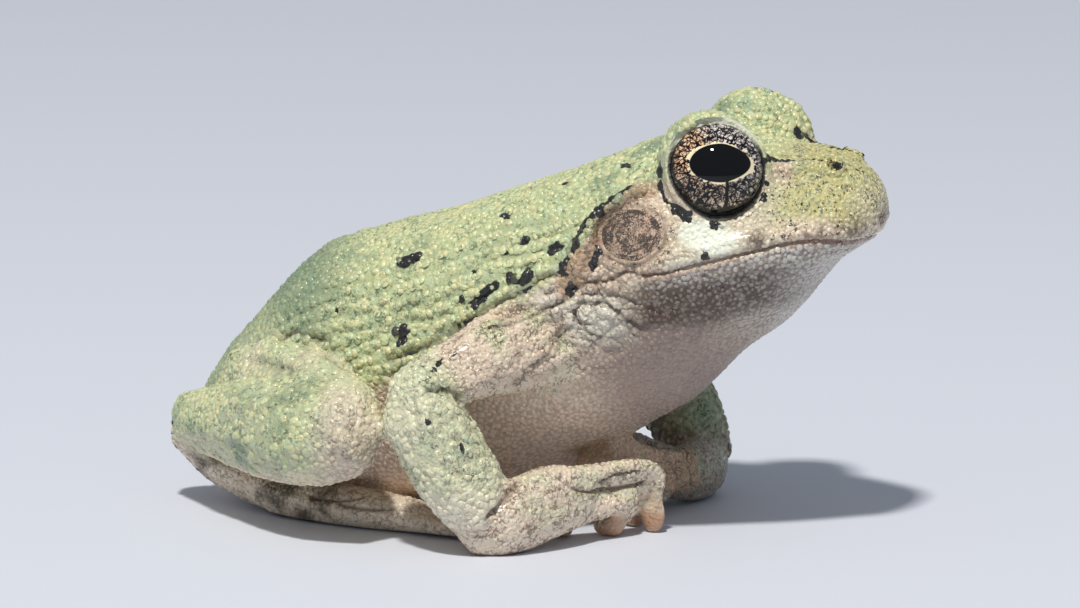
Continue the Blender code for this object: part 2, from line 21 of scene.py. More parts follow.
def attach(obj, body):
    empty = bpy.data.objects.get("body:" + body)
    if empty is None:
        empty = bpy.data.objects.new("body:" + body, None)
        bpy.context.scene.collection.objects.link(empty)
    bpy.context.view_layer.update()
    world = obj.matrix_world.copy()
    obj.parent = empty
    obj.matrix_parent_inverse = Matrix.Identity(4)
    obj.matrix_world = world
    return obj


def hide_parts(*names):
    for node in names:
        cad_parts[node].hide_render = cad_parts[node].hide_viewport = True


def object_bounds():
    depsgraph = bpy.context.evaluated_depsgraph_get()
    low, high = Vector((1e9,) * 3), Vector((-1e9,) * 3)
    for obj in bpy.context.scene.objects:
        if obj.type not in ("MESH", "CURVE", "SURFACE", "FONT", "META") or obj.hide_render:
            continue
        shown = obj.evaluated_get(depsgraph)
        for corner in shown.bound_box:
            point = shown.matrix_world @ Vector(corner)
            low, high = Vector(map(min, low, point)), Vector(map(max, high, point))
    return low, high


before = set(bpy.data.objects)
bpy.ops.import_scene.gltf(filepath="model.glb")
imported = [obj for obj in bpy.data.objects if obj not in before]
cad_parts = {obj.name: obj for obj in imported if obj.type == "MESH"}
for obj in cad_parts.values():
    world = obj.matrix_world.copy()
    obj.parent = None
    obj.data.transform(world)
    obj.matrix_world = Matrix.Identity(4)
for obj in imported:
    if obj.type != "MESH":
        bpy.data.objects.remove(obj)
CAD_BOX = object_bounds()

LOG = logging.getLogger("tree_frog")
MM = 0.001
Point = tuple[float, float, float]
Colour = tuple[float, float, float]
Array = np.ndarray
Form = bmesh.types.BMesh
Item = bpy.types.Object
Socket = bpy.types.NodeSocket


class Side(Enum):
    """The two sides of the frog, as the sign of Y."""

    RIGHT = -1
    LEFT = 1


class Region(Enum):
    """The parts of the skin that are coloured and beaded in their own way."""

    HEAD = "head"
    TORSO = "torso"
    UPPER_ARM = "upper_arm"
    FOREARM = "forearm"
    HAND = "hand"
    THIGH = "thigh"
    SHANK = "shank"
    FOOT = "foot"


REGIONS = tuple(Region)
# the regions that both sides have
PAIRED = REGIONS[2:]
# the whole numbers that scatter the cells of the noise
CELL_PRIMES = (73856093, 19349663, 83492791)
SEED_PRIME = 2654435761
SCRAMBLES = ((15, 2246822519), (13, 3266489917))
WORD = 0xFFFFFFFF


def node_names() -> dict[str, Region]:
    """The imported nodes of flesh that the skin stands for, with the region of each.

    Returns:
        The region by the node's name.
    """
    names = {"head": Region.HEAD, "torso": Region.TORSO}
    for region in PAIRED:
        names[region.value + "_right"] = region
        names[region.value + "_left"] = region
    return names


def step(values: Array, low: float, high: float) -> Array:
    """Eases from 0 to 1 as the values go from low to high."""
    t = np.clip((values - low) / (high - low), 0.0, 1.0)
    return t * t * (3.0 - 2.0 * t)


def bell(values: Array, middle: float, width: float) -> Array:
    """A smooth hump over the values."""
    return np.exp(-(((values - middle) / width) ** 2))


def hashed(cell: Array, seed: int) -> Array:
    """A repeatable number from 0 to 1 for each whole-number cell.

    Args:
        cell: Rows of three whole numbers.
        seed: Chooses the draw.

    Returns:
        One number a row.
    """
    x, y, z = (cell[:, k] * prime for k, prime in enumerate(CELL_PRIMES))
    mixed = (x ^ y ^ z ^ (seed * SEED_PRIME)) & WORD
    for shift, prime in SCRAMBLES:
        mixed = ((mixed ^ (mixed >> shift)) * prime) & WORD
    return ((mixed ^ (mixed >> 16)) & 0xFFFFFF) / float(0x1000000)


def noise(points: Array, size: float, seed: int) -> Array:
    """Smooth noise from -1 to 1.

    Args:
        points: Places in millimetres.
        size: The width of one swelling of the noise.
        seed: Chooses the draw.

    Returns:
        One number a place.
    """
    scaled = points / size
    base = np.floor(scaled).astype(np.int64)
    part = scaled - base
    part = part * part * (3.0 - 2.0 * part)
    total = np.zeros(len(points))
    for corner in range(8):
        offset = np.array([corner & 1, corner >> 1 & 1, corner >> 2 & 1])
        weight = np.prod(np.where(offset, part, 1.0 - part), axis=1)
        total += weight * hashed(base + offset, seed)
    return total * 2.0 - 1.0


def cells(points: Array, size: float, seed: int) -> tuple[Array, Array]:
    """Distances to the nearest and the second nearest of scattered seeds.

    Args:
        points: Places in millimetres.
        size: The usual distance between seeds.
        seed: Chooses the draw.

    Returns:
        The two distances, as shares of the size.
    """
    scaled = points / size
    base = np.floor(scaled).astype(np.int64)
    first = np.full(len(points), 9.0)
    second = np.full(len(points), 9.0)
    for i in range(27):
        cell = base + np.array([i % 3 - 1, i // 3 % 3 - 1, i // 9 - 1])
        spot = cell + np.stack([hashed(cell, seed + k) for k in range(3)], axis=1)
        away = np.linalg.norm(scaled - spot, axis=1)
        second = np.minimum(second, np.maximum(first, away))
        first = np.minimum(first, away)
    return first, second


def path_distance(points: Array, path: Array) -> tuple[Array, Array]:
    """How far places are from a path, and how far along it they are.

    Args:
        points: Places in millimetres.
        path: The corners of the path.

    Returns:
        The distance to the path, and the share of its length at the nearest point.
    """
    lengths = np.linalg.norm(np.diff(path, axis=0), axis=1)
    starts = np.concatenate([[0.0], np.cumsum(lengths)])
    nearest = np.full(len(points), 1e9)
    along = np.zeros(len(points))
    for i, (a, b) in enumerate(zip(path, path[1:])):
        t = np.clip((points - a) @ (b - a) / max(lengths[i] ** 2, 1e-9), 0.0, 1.0)
        away = np.linalg.norm(points - a - t[:, None] * (b - a), axis=1)
        closer = away < nearest
        nearest[closer] = away[closer]
        along[closer] = (starts[i] + t[closer] * lengths[i]) / starts[-1]
    return nearest, along


def near_path(
    points: Array, path: Array, reach: float,
) -> tuple[Array, Array, Array]:
    """Finds the places that may lie within reach of a path, and measures only those.

    Args:
        points: Places in millimetres.
        path: The corners of the path.
        reach: How far from the path a place may be.

    Returns:
        Which places they are, their distances and how far along the path they are.
    """
    low, high = path.min(0) - reach, path.max(0) + reach
    chosen = np.nonzero(np.all((points > low) & (points < high), axis=1))[0]
    away, along = path_distance(points[chosen], path)
    return chosen, away, along


def curved(path: Array, steps: int = 5) -> Array:
    """A smooth curve through the corners of a path.

    Args:
        path: The corners.
        steps: How many points each stretch gets.

    Returns:
        The points of the curve.
    """
    last = len(path) - 1
    found = []
    for i in range(last):
        a, b, c, d = path[max(i - 1, 0)], path[i], path[i + 1], path[min(i + 2, last)]
        for k in range(steps):
            t = k / steps
            bend = (2 * a - 5 * b + 4 * c - d) * t * t + (3 * b - a - 3 * c + d) * t ** 3
            found.append(0.5 * (2 * b + (c - a) * t + bend))
    found.append(path[last])
    return np.array(found)


@dataclass(frozen=True)
class HeadTurn:
    """The head's turn to the frog's left about the neck, as the solids have it."""

    angle: float = math.radians(6.0)
    start: float = 1.0
    full: float = 9.0
    pivot: float = 5.0
    shift: float = 0.191

    def turned(self, points: Array) -> Array:
        """Takes places on a head that faces straight ahead to where they are on the model."""
        return self._about(points, points[:, 0], 1.0) + [self.shift, 0.0, 0.0]

    def straight(self, points: Array) -> Array:
        """Takes places in the model's frame back to a head that faces straight ahead.

        Args:
            points: Places in millimetres in the model's frame.

        Returns:
            The places on the straight head.
        """
        moved = points - [self.shift, 0.0, 0.0]
        found = moved
        for _ in range(4):
            found = self._about(moved, found[:, 0], -1.0)
        return found

    def mirrored(self, points: Array) -> Array:
        """Takes places on one side of the frog to the other."""
        return self.turned(self.straight(points) * [1.0, -1.0, 1.0])

    def twins(self, place: Point) -> tuple[Array, Array]:
        """A place on the right side and its twin on the left, as rows of one."""
        right = np.array([place])
        return right, self.mirrored(right)

    def brought_right(self, points: Array) -> Array:
        """Takes places on the left side of the frog to the right and leaves the others."""
        on_left = self.straight(points)[:, 1:2] >= 0.0
        return np.where(on_left, self.mirrored(points), points)

    def _about(self, points: Array, ahead: Array, sign: float) -> Array:
        """Turns places about the neck by the share that belongs to how far ahead they are.

        Args:
            points: The places.
            ahead: How far ahead each is on the straight head.
            sign: 1 to turn and -1 to turn back.

        Returns:
            The turned places.
        """
        angle = sign * self.angle * step(ahead, self.start, self.full)
        x = points[:, 0] - self.pivot
        y = points[:, 1]
        cos, sin = np.cos(angle), np.sin(angle)
        return np.stack([self.pivot + cos * x - sin * y, sin * x + cos * y, points[:, 2]], axis=1)


TURN = HeadTurn()


def object_of(name: str, mesh: bpy.types.Mesh) -> Item:
    """A new object in the scene that shows a mesh.

    Args:
        name: The object's name.
        mesh: Its mesh.

    Returns:
        The object.
    """
    made = bpy.data.objects.new(name, mesh)
    mesh.name = name
    bpy.context.scene.collection.objects.link(made)
    return made


def applied(item: Item) -> Item:
    """Makes an object's modifiers part of its mesh.

    Args:
        item: The object, which is changed.

    Returns:
        The same object.
    """
    bpy.context.view_layer.update()
    graph = bpy.context.evaluated_depsgraph_get()
    mesh = bpy.data.meshes.new_from_object(item.evaluated_get(graph))
    old = item.data
    item.modifiers.clear()
    item.data = mesh
    bpy.data.meshes.remove(old)
    return item


def smooth_shaded(mesh: bpy.types.Mesh) -> None:
    """Shades every face of a mesh smooth."""
    mesh.polygons.foreach_set("use_smooth", [True] * len(mesh.polygons))


def formed(name: str, shape: Form) -> Item:
    """A new object from a form made in code, which is freed.

    Args:
        name: The object's name.
        shape: The form, in metres.

    Returns:
        The object.
    """
    mesh = bpy.data.meshes.new(name)
    shape.to_mesh(mesh)
    shape.free()
    return object_of(name, mesh)


def webbed(
    shape: Form, rings: list[list[bmesh.types.BMVert]],
    front: bmesh.types.BMVert, back: bmesh.types.BMVert,
) -> None:
    """Fills the faces of a round form, from the point in front over its rings to the one behind.

    Args:
        shape: The form.
        rings: Its rings of points, from the front.
        front: The point in front.
        back: The point behind.
    """
    sides = len(rings[0])
    for k in range(sides):
        j = (k + 1) % sides
        shape.faces.new((front, rings[0][k], rings[0][j]))
        shape.faces.new((back, rings[-1][j], rings[-1][k]))
        for low, high in zip(rings, rings[1:]):
            shape.faces.new((low[k], high[k], high[j], low[j]))
    bmesh.ops.recalc_face_normals(shape, faces=shape.faces)


class Surface:
    """A mesh object whose points are moved in code, as arrays in millimetres."""

    def __init__(self, item: Item) -> None:
        """Reads the object's mesh."""
        self.item = item
        self.read()

    def read(self) -> None:
        """Reads the points, the normals and the edges from the mesh."""
        mesh = self.item.data
        count = len(mesh.vertices)
        self.points = np.zeros(count * 3)
        mesh.vertices.foreach_get("co", self.points)
        self.points = self.points.reshape(-1, 3) / MM
        self.normals = np.zeros(count * 3)
        mesh.vertex_normals.foreach_get("vector", self.normals)
        self.normals = self.normals.reshape(-1, 3)
        edges = np.zeros(len(mesh.edges) * 2, dtype=np.int64)
        mesh.edges.foreach_get("vertices", edges)
        self.edges = edges.reshape(-1, 2)

    def write(self) -> None:
        """Puts the points into the mesh and reads its new normals."""
        mesh = self.item.data
        mesh.vertices.foreach_set("co", (self.points * MM).ravel())
        mesh.update()
        mesh.vertex_normals.foreach_get("vector", flat := np.zeros(self.points.size))
        self.normals = flat.reshape(-1, 3)

    def push(self, heights: Array) -> None:
        """Moves each point along its normal."""
        self.points += self.normals * heights[:, None]
        self.write()

    def averaged(self, values: Array) -> Array:
        """The mean of each point's neighbours.

        Args:
            values: One row a point.

        Returns:
            The means, one row a point.
        """
        first, second = self.edges.T
        count = len(self.points)
        links = np.bincount(first, minlength=count) + np.bincount(second, minlength=count)
        rows = values.reshape(count, -1)
        total = np.empty_like(rows)
        for k in range(rows.shape[1]):
            column = rows[:, k]
            total[:, k] = np.bincount(first, column[second], count)
            total[:, k] += np.bincount(second, column[first], count)
        return (total / np.maximum(links, 1)[:, None]).reshape(values.shape)

    def eased(self, rounds: int, share: Array) -> None:
        """Smooths the surface without shrinking it.

        Args:
            rounds: How many times.
            share: How much of it each point takes, from 0 to 1.
        """
        for _ in range(rounds):
            for amount in (0.5, -0.52):
                pull = self.averaged(self.points) - self.points
                self.points += pull * (share * amount)[:, None]
        self.write()

    def tree(self) -> BVHTree:
        """Makes a search tree over the surface.

        Returns:
            The tree, in millimetres.
        """
        mesh = self.item.data
        faces = [tuple(face.vertices) for face in mesh.polygons]
        return BVHTree.FromPolygons([tuple(p) for p in self.points], faces)

    def store(self, name: str, values: Array) -> None:
        """Keeps one number a point as an attribute."""
        kept = self.item.data.attributes.new(name, "FLOAT", "POINT")
        kept.data.foreach_set("value", values.astype(np.float32))


def clipped(surface: Surface) -> None:
    """Keeps a surface inside the box of the solids.

    Args:
        surface: The surface, which is changed.
    """
    low, high = np.array(CAD_BOX[0]) / MM, np.array(CAD_BOX[1]) / MM
    surface.points = np.clip(surface.points, low, high)
    surface.write()


def laid(path: Array, tree: BVHTree) -> Array:
    """A smooth curve through a path, laid on the skin."""
    return np.array([tree.find_nearest(tuple(p))[0][:] for p in curved(path)])


@dataclass(frozen=True)
class Fold:
    """A ridge or a groove that follows a path on the skin of both sides."""

    path: tuple[Point, ...]
    width: float
    height: float
    across: bool = False
    both: bool = True
    # how dark its groove is painted in colour: painted shade in the fold's groove
    tone: float = 0.0

    def paths(self, tree: BVHTree) -> list[Array]:
        """The path laid on the skin, on each side, or from side to side in one.

        Args:
            tree: The skin to lay it on.

        Returns:
            The smooth paths.
        """
        right = np.array(self.path)
        left = TURN.mirrored(right)
        found = [right, left] if self.both else [right]
        if self.across:
            found = [np.concatenate([right, left[::-1]])]
        return [laid(path, tree) for path in found]

    def share(self, points: Array, tree: BVHTree) -> Array:
        """How much of the fold's height some places take.

        Args:
            points: The places.
            tree: The skin before it is folded.

        Returns:
            The shares: 1 on the path, and 0 away from it and at its ends.
        """
        total = np.zeros(len(points))
        for path in self.paths(tree):
            near, away, along = near_path(points, path, 3 * self.width)
            ends = 1.0 if self.across else step(along, 0.0, 0.12) * step(along, 1.0, 0.88)
            total[near] = np.maximum(total[near], ends * bell(away, 0.0, self.width))
        return total


@dataclass(frozen=True)
class Mark:
    """A dark spot or streak in the skin, along a short path."""

    path: tuple[Point, ...]
    radius: float
    both: bool = True

    def paths(self, tree: BVHTree) -> list[Array]:
        """Its path laid on the skin, on each side that it is on.

        Args:
            tree: The skin to lay it on.

        Returns:
            The smooth paths.
        """
        right = np.array(self.path)
        if len(right) == 1:
            right = np.concatenate([right, right + 0.01])
        found = [right, TURN.mirrored(right)] if self.both else [right]
        return [laid(path, tree) for path in found]

    def shade(self, points: Array, tree: BVHTree) -> Array:
        """How dark the mark makes some places.

        Args:
            points: The places.
            tree: The skin that it lies on.

        Returns:
            The share of dark, from 0 to 1.
        """
        found = np.zeros(len(points))
        for path in self.paths(tree):
            near, away, _ = near_path(points, path, 2.5 * self.radius)
            ragged = noise(points[near], 0.1 + 0.6 * self.radius, 5) + 0.6 * noise(points[near], 0.16, 6)
            away += 0.5 * self.radius * ragged
            found[near] = np.maximum(found[near], step(away, self.radius * 1.35, self.radius * 0.95))
        return found


@dataclass(frozen=True)
class EyeSeat:
    """Where an eye sits in the head and which way it looks, as the solids have it."""

    side: Side
    centre: Point = (11.6, 4.67, 20.53)
    forward: float = math.radians(24.0)
    up: float = math.radians(16.0)
    radius: float = 2.64

    def matrix(self) -> Matrix:
        """The eye's place in millimetres: Z looks out, Y is up and X is to its right.

        Returns:
            The place and the turn in one.
        """
        sign = float(self.side.value)
        middle = np.array([[self.centre[0], sign * self.centre[1], self.centre[2]]])
        level = math.cos(self.up)
        look = np.array([[
            math.sin(self.forward) * level,
            sign * math.cos(self.forward) * level,
            math.sin(self.up),
        ]])
        place = Vector(TURN.turned(middle)[0])
        outward = (Vector(TURN.turned(middle + look)[0]) - place).normalized()
        right = Vector((0.0, 0.0, 1.0)).cross(outward).normalized()
        above = outward.cross(right)
        turn = Matrix((right, above, outward)).transposed().to_4x4()
        return Matrix.Translation(place) @ turn


def local(points: Array, matrix: Matrix) -> Array:
    """Places as seen from a matrix."""
    back = np.array(matrix.inverted())
    return points @ back[:3, :3].T + back[:3, 3]


def tube(path: Array, radii: Array, closed: bool, sides: int = 16) -> Form:
    """A round tube along a path.

    Args:
        path: The middle line in millimetres.
        radii: The radius at each of its points.
        closed: Whether the path is a ring.
        sides: How many sides the tube has.

    Returns:
        The tube, in metres.
    """
    shape = bmesh.new()
    count = len(path)
    normal = Vector(np.cross(path[1] - path[0], path[-1] - path[0])).normalized()
    rings = []
    for i in range(count):
        ahead = path[(i + 1) % count] - path[i - 1]
        if not closed:
            ahead = path[min(i + 1, count - 1)] - path[max(i - 1, 0)]
        ahead = Vector(ahead).normalized()
        across = ahead.cross(normal).normalized()
        over = across.cross(ahead)
        ring = []
        for k in range(sides):
            angle = 2 * math.pi * k / sides
            offset = (across * math.cos(angle) + over * math.sin(angle)) * float(radii[i])
            ring.append(shape.verts.new((Vector(path[i]) + offset) * MM))
        rings.append(ring)
    pairs = list(zip(rings, rings[1:]))
    if closed:
        pairs.append((rings[-1], rings[0]))
    for low, high in pairs:
        for k in range(sides):
            j = (k + 1) % sides
            shape.faces.new((low[k], low[j], high[j], high[k]))
    if not closed:
        shape.faces.new(rings[0])
        shape.faces.new(rings[-1])
    bmesh.ops.recalc_face_normals(shape, faces=shape.faces)
    return shape


JOINS = (
    ((3.6, -6.2, 11.0), 4.2),
    ((-1.4, -11.8, 9.0), 2.8),
    ((1.6, -11.1, 2.2), 2.6),
    ((3.6, 6.4, 11.0), 4.2),
    ((1.1, 11.8, 8.8), 2.8),
    ((6.0, 8.6, 2.1), 2.6),
    ((-12.6, -6.2, 7.3), 4.6),
    ((-6.0, -12.2, 6.4), 3.0),
    ((-18.6, -4.9, 4.3), 1.8),
    ((-12.6, 6.2, 7.3), 4.6),
    ((-6.0, 12.2, 6.4), 3.0),
    ((-18.6, 4.9, 4.3), 1.8),
)
NECK = ((5.2, 22.0), (7.8, 4.0))
NECK_REACH = 2.4
MOUTH = (
    (9.36, -7.13, 15.13),
    (10.74, -6.82, 15.34),
    (11.88, -6.48, 15.7),
    (12.98, -6.06, 15.98),
    (14.07, -5.47, 16.29),
    (14.92, -4.71, 16.55),
    (16.06, -3.96, 16.88),
    (17.5, -3.2, 17.0),
    (18.6, -1.9, 16.92),
    (19.3, 0.0, 16.82),
)
NOSTRIL = (17.85, -0.74, 20.77)


def join_share(points: Array) -> Array:
    """How much the skin closes over the gaps between the solids at some places.

    Args:
        points: The places.

    Returns:
        1 at a joint and 0 away from one.
    """
    top, foot = np.array(NECK[0]), np.array(NECK[1])
    along = (top - foot) / np.linalg.norm(top - foot)
    offset = points[:, [0, 2]] - foot
    away = np.abs(offset[:, 0] * along[1] - offset[:, 1] * along[0])
    central = step(np.abs(points[:, 1]), 10.5, 9.5)
    share = step(away, NECK_REACH, NECK_REACH * 0.5) * central
    for centre, radius in JOINS:
        away = np.linalg.norm(points - np.array(centre), axis=1)
        share = np.maximum(share, step(away, radius * 1.25, radius * 0.85))
    right = TURN.brought_right(points)
    away, _ = path_distance(right, np.array(MOUTH))
    share = np.maximum(share, step(away, 1.3, 0.8))
    away = np.linalg.norm(right - np.array(NOSTRIL), axis=1)
    return np.maximum(share, step(away, 1.3, 0.9))


@dataclass(frozen=True)
class DrumSeat:
    """Where an eardrum sits, as the solids have it, and how wide it is."""

    side: Side
    radius: float = 1.5
    wide: float = 1.22

    def frame(self) -> tuple[Vector, Vector, Vector, Vector]:
        """The middle of its outer face and the directions across, up and out.

        Returns:
            The place in millimetres and three directions.
        """
        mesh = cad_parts["eardrum_" + self.side.name.lower()].data
        points = np.array([v.co[:] for v in mesh.vertices]) / MM
        middle = points.mean(0)
        _, _, axes = np.linalg.svd(points - middle)
        out = axes[2] * np.sign(axes[2][1] * self.side.value)
        middle = middle + out * ((points - middle) @ out).max()
        outward = Vector(out)
        across = Vector((0.0, 0.0, 1.0)).cross(outward).normalized()
        return Vector(middle), across, outward.cross(across), outward

    def seen(self, points: Array) -> tuple[Array, Array]:
        """How far places are from the eardrum's middle and how far they stand out from it.

        Args:
            points: The places.

        Returns:
            The distance as a share of its size, and the height over its face.
        """
        middle, across, above, outward = (np.array(v) for v in self.frame())
        offset = points - middle
        height = offset @ outward
        reach = np.hypot(offset @ across / self.wide, offset @ above) / self.radius
        return np.where(np.abs(height) < 1.5, reach, 9.0), height


def flank(straight: Array) -> Array:
    """How much places belong to the pleated flanks.

    Args:
        straight: The places on the frog that faces straight ahead.

    Returns:
        The shares.
    """
    side = step(np.abs(straight[:, 1]), 4.0, 6.5) * step(straight[:, 0], 5.5, 3.5)
    side *= step(straight[:, 2], 8.0, 10.0) * step(np.abs(straight[:, 1]), 9.6, 8.8)
    return side * step(straight[:, 0], -15.0, -12.0)


@dataclass
class Skin:
    """The one skin over all the flesh, with its lids, folds, pleats and wrinkles."""

    folds: tuple[Fold, ...]
    marks: tuple[Mark, ...]
    closing: float = 0.28
    coat: float = 0.07
    voxel: float = 0.16
    tucked: tuple[tuple[tuple[Point, float], ...], ...] = (
        (((7.3, 4.0, 3.0), 0.75), ((6.7, 2.4, 3.3), 0.62), ((5.9, 0.8, 3.9), 0.58), ((5.2, -0.6, 4.4), 0.62),
         ((4.7, -1.5, 4.5), 0.8), ((4.4, -2.0, 4.4), 0.35)),
        (((7.5, 3.8, 1.9), 0.75), ((7.0, 2.2, 2.2), 0.6), ((6.3, 0.6, 2.8), 0.55), ((5.7, -0.8, 3.2), 0.6),
         ((5.0, -1.9, 3.4), 0.72), ((4.3, -2.8, 3.6), 0.66), ((3.9, -3.3, 3.6), 0.35)),
    )
    target: int = 84_000
    longest: float = 0.4
    worked: float = 0.27
    shortest: float = 0.09
    crisp: float = 0.2
    margins: tuple[float, ...] = (0.5, 0.35, 0.2, 0.1)
    sharp_edge: float = math.radians(48.0)
    bed_depth: float = 0.14
    lid_radius: float = 0.14
    lid_reach: float = 2.73
    lid_angle: float = math.radians(80.0)
    lid_droop: float = math.radians(3.0)
    lid_sag: float = math.radians(8.0)
    left_cover: float = math.radians(19.0)
    lid_points: int = 72
    seats: tuple[EyeSeat, ...] = (EyeSeat(Side.RIGHT), EyeSeat(Side.LEFT))
    drums: tuple[DrumSeat, ...] = (DrumSeat(Side.RIGHT), DrumSeat(Side.LEFT))
    pleat_angle: float = math.radians(22.0)
    pleat_width: float = 0.78
    pleat_height: float = 0.11
    wrinkle_stretch: Point = (1.0, 1.0, 1.3)
    wrinkled: tuple[tuple[Point, float, float, float], ...] = (
        ((6.6, -7.4, 12.7), 2.6, 0.16, 1.0),
        ((3.4, -9.2, 11.8), 2.6, 0.1, 0.8),
        ((7.6, -7.2, 15.0), 1.8, 0.08, 0.8),
        ((-4.8, -14.0, 6.5), 1.8, 0.08, 0.7),
        ((0.8, -13.2, 6.5), 3.2, 0.09, 0.8),
        ((4.5, -10.3, 3.6), 2.2, 0.07, 0.7),
        ((12.0, -6.0, 13.6), 2.8, 0.06, 0.6),
        ((-10.5, -12.0, 7.0), 4.6, 0.06, 1.0),
    )
    surface: Surface = field(init=False)
    owners: Array = field(init=False)
    crease: Array = field(init=False)
    furrow: Array = field(init=False)

    def build(self) -> None:
        """Fuses the solids into one skin, shapes it and keeps what its colours need."""
        self._fuse()
        self._grade()
        self._refine()
        self._unwrap()
        self._sculpt()
        self._own()
        SkinMap(self).keep()
        smooth_shaded(self.surface.item.data)

    def _fuse(self) -> None:
        """Swells the solids over their gaps, joins them and draws the skin back."""
        whole = bmesh.new()
        for name in (*node_names(), "eardrum_right", "eardrum_left"):
            shape = self._rounded(name)
            places = np.array([v.co[:] for v in shape.verts]) / MM
            share = np.ones(len(places)) if name.startswith("eardrum") else join_share(places)
            for point, amount in zip(shape.verts, share):
                point.co += point.normal * (self.closing * float(amount) * MM)
            self._add(whole, shape)
        for seat in self.seats:
            self._add(whole, self._eye_bed(seat))
            self._add(whole, self._lid(seat))
        for finger in self.tucked:
            path = curved(np.array([place for place, _ in finger]))
            radii = curved(np.array([[radius] for _, radius in finger]))[:, 0]
            self._add(whole, tube(path, radii, False))
        item = formed("skin", whole)
        remesh = item.modifiers.new("fuse", "REMESH")
        remesh.mode = "VOXEL"
        remesh.voxel_size = self.voxel * MM
        applied(item)
        self.surface = Surface(item)
        LOG.info("fused skin has %d points", len(self.surface.points))
        share = join_share(self.surface.points)
        self.surface.push(-self.closing * share - self.coat)

    def _rounded(self, name: str) -> Form:
        """A smooth copy of a solid, whose cut edges stay sharp.

        Args:
            name: The solid's node.

        Returns:
            The copy.
        """
        shape = bmesh.new()
        shape.from_mesh(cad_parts[name].data)
        bmesh.ops.remove_doubles(shape, verts=shape.verts, dist=1e-7)
        sharp = shape.edges.layers.float.new("crease_edge")
        for edge in shape.edges:
            if len(edge.link_faces) == 2 and edge.calc_face_angle() > self.sharp_edge:
                edge[sharp] = 1.0
        item = formed("form", shape)
        soft = item.modifiers.new("soft", "SUBSURF")
        soft.levels = soft.render_levels = 2
        mesh = applied(item).data
        shape = bmesh.new()
        shape.from_mesh(mesh)
        shape.normal_update()
        bpy.data.objects.remove(item)
        bpy.data.meshes.remove(mesh)
        return shape

    @staticmethod
    def _add(whole: Form, shape: Form) -> None:
        """Adds a form to the whole and frees it.

        Args:
            whole: What it is added to.
            shape: The form.
        """
        mesh = bpy.data.meshes.new("form")
        shape.to_mesh(mesh)
        shape.free()
        whole.from_mesh(mesh)
        bpy.data.meshes.remove(mesh)

    def _eye_bed(self, seat: EyeSeat) -> Form:
        """A ball just inside an eye, so that no hole is left round it.

        Args:
            seat: The eye's place.

        Returns:
            The ball, in metres.
        """
        shape = bmesh.new()
        radius = (seat.radius - self.bed_depth + self.coat) * MM
        bmesh.ops.create_uvsphere(shape, u_segments=40, v_segments=20, radius=radius)
        shape.transform(Matrix.Translation(seat.matrix().to_translation() * MM))
        return shape

    def _lid(self, seat: EyeSeat) -> Form:
        """The rounded edge of the lids, a ring that lies on the eyeball.

        The lower lid sags at the back. The left eye, which looks away, is more covered in front.

        Args:
            seat: The eye's place.

        Returns:
            The ring, in metres.
        """
        turns = np.arange(self.lid_points) * 2 * math.pi / self.lid_points
        forward = -np.cos(turns) * seat.side.value
        upper = np.clip(np.sin(turns), 0.0, 1.0)
        low_rear = np.clip(-0.62 * np.sin(turns) - 0.78 * forward, 0.0, 1.0) ** 4
        front = np.clip(0.8 * forward + 0.6 * np.sin(turns), 0.0, 1.0) ** 2
        angle = self.lid_angle - self.lid_droop * upper - self.lid_sag * low_rear
        radii = np.full(self.lid_points, self.lid_radius + self.coat) + 0.04 * upper + 0.08 * low_rear
        if seat.side is Side.LEFT:
            angle -= self.left_cover * front
            radii += 0.08 * front
        ring = self.lid_reach * np.sin(angle)
        over = self.lid_reach * np.cos(angle)
        places = np.stack([ring * np.cos(turns), ring * np.sin(turns), over], axis=1)
        matrix = np.array(seat.matrix())
        return tube(places @ matrix[:3, :3].T + matrix[:3, 3], radii, True)

    def _grade(self) -> None:
        """Thins the mesh where the skin is plain and keeps only its main surface."""
        surface = self.surface
        fine = self._fineness(surface.points)
        surface.eased(6, 1.0 - 0.7 * fine)
        surface.eased(14, step(surface.points[:, 0], -13.5, -16.0))
        group = surface.item.vertex_groups.new(name="spare")
        spare = 1.0 - 0.45 * fine
        for level in range(1, 11):
            chosen = np.nonzero(np.round(spare * 10) == level)[0]
            group.add(chosen.tolist(), level / 10, "REPLACE")
        thin = surface.item.modifiers.new("thin", "DECIMATE")
        thin.ratio = min(1.0, self.target / (2 * len(surface.item.data.polygons)))
        thin.vertex_group = "spare"
        thin.vertex_group_factor = 1.0
        applied(surface.item)
        surface.item.vertex_groups.clear()
        self._keep_main()
        surface.read()
        LOG.info("graded skin has %d points", len(surface.points))

    @staticmethod
    def _fineness(points: Array) -> Array:
        """How fine the mesh stays at some places: 1 on the head, the hands and the feet.

        Args:
            points: The places.

        Returns:
            The shares.
        """
        head = step(points[:, 0], 5.5, 7.5) * step(points[:, 2], 9.0, 11.5)
        low = step(points[:, 2], 5.2, 4.2)
        hands = low * step(points[:, 0], 0.8, 1.8)
        feet = low * step(points[:, 0], -9.0, -8.0) * step(np.abs(points[:, 1]), 10.5, 9.5) * 0.9
        return np.maximum(head, np.maximum(hands, feet))

    def _keep_main(self) -> None:
        """Drops every separate surface but the one with most points."""
        shape = bmesh.new()
        shape.from_mesh(self.surface.item.data)
        shape.verts.index_update()
        label = np.arange(len(shape.verts))
        edges = np.array([[v.index for v in edge.verts] for edge in shape.edges])
        while True:
            low = np.minimum(label[edges[:, 0]], label[edges[:, 1]])
            fresh = label.copy()
            np.minimum.at(fresh, edges[:, 0], low)
            np.minimum.at(fresh, edges[:, 1], low)
            fresh = fresh[fresh]
            if np.array_equal(fresh, label):
                break
            label = fresh
        main = np.bincount(label).argmax()
        stray = [v for v, mine in zip(list(shape.verts), label) if mine != main]
        bmesh.ops.delete(shape, geom=stray, context="VERTS")
        bmesh.ops.triangulate(shape, faces=shape.faces)
        shape.to_mesh(self.surface.item.data)
        shape.free()

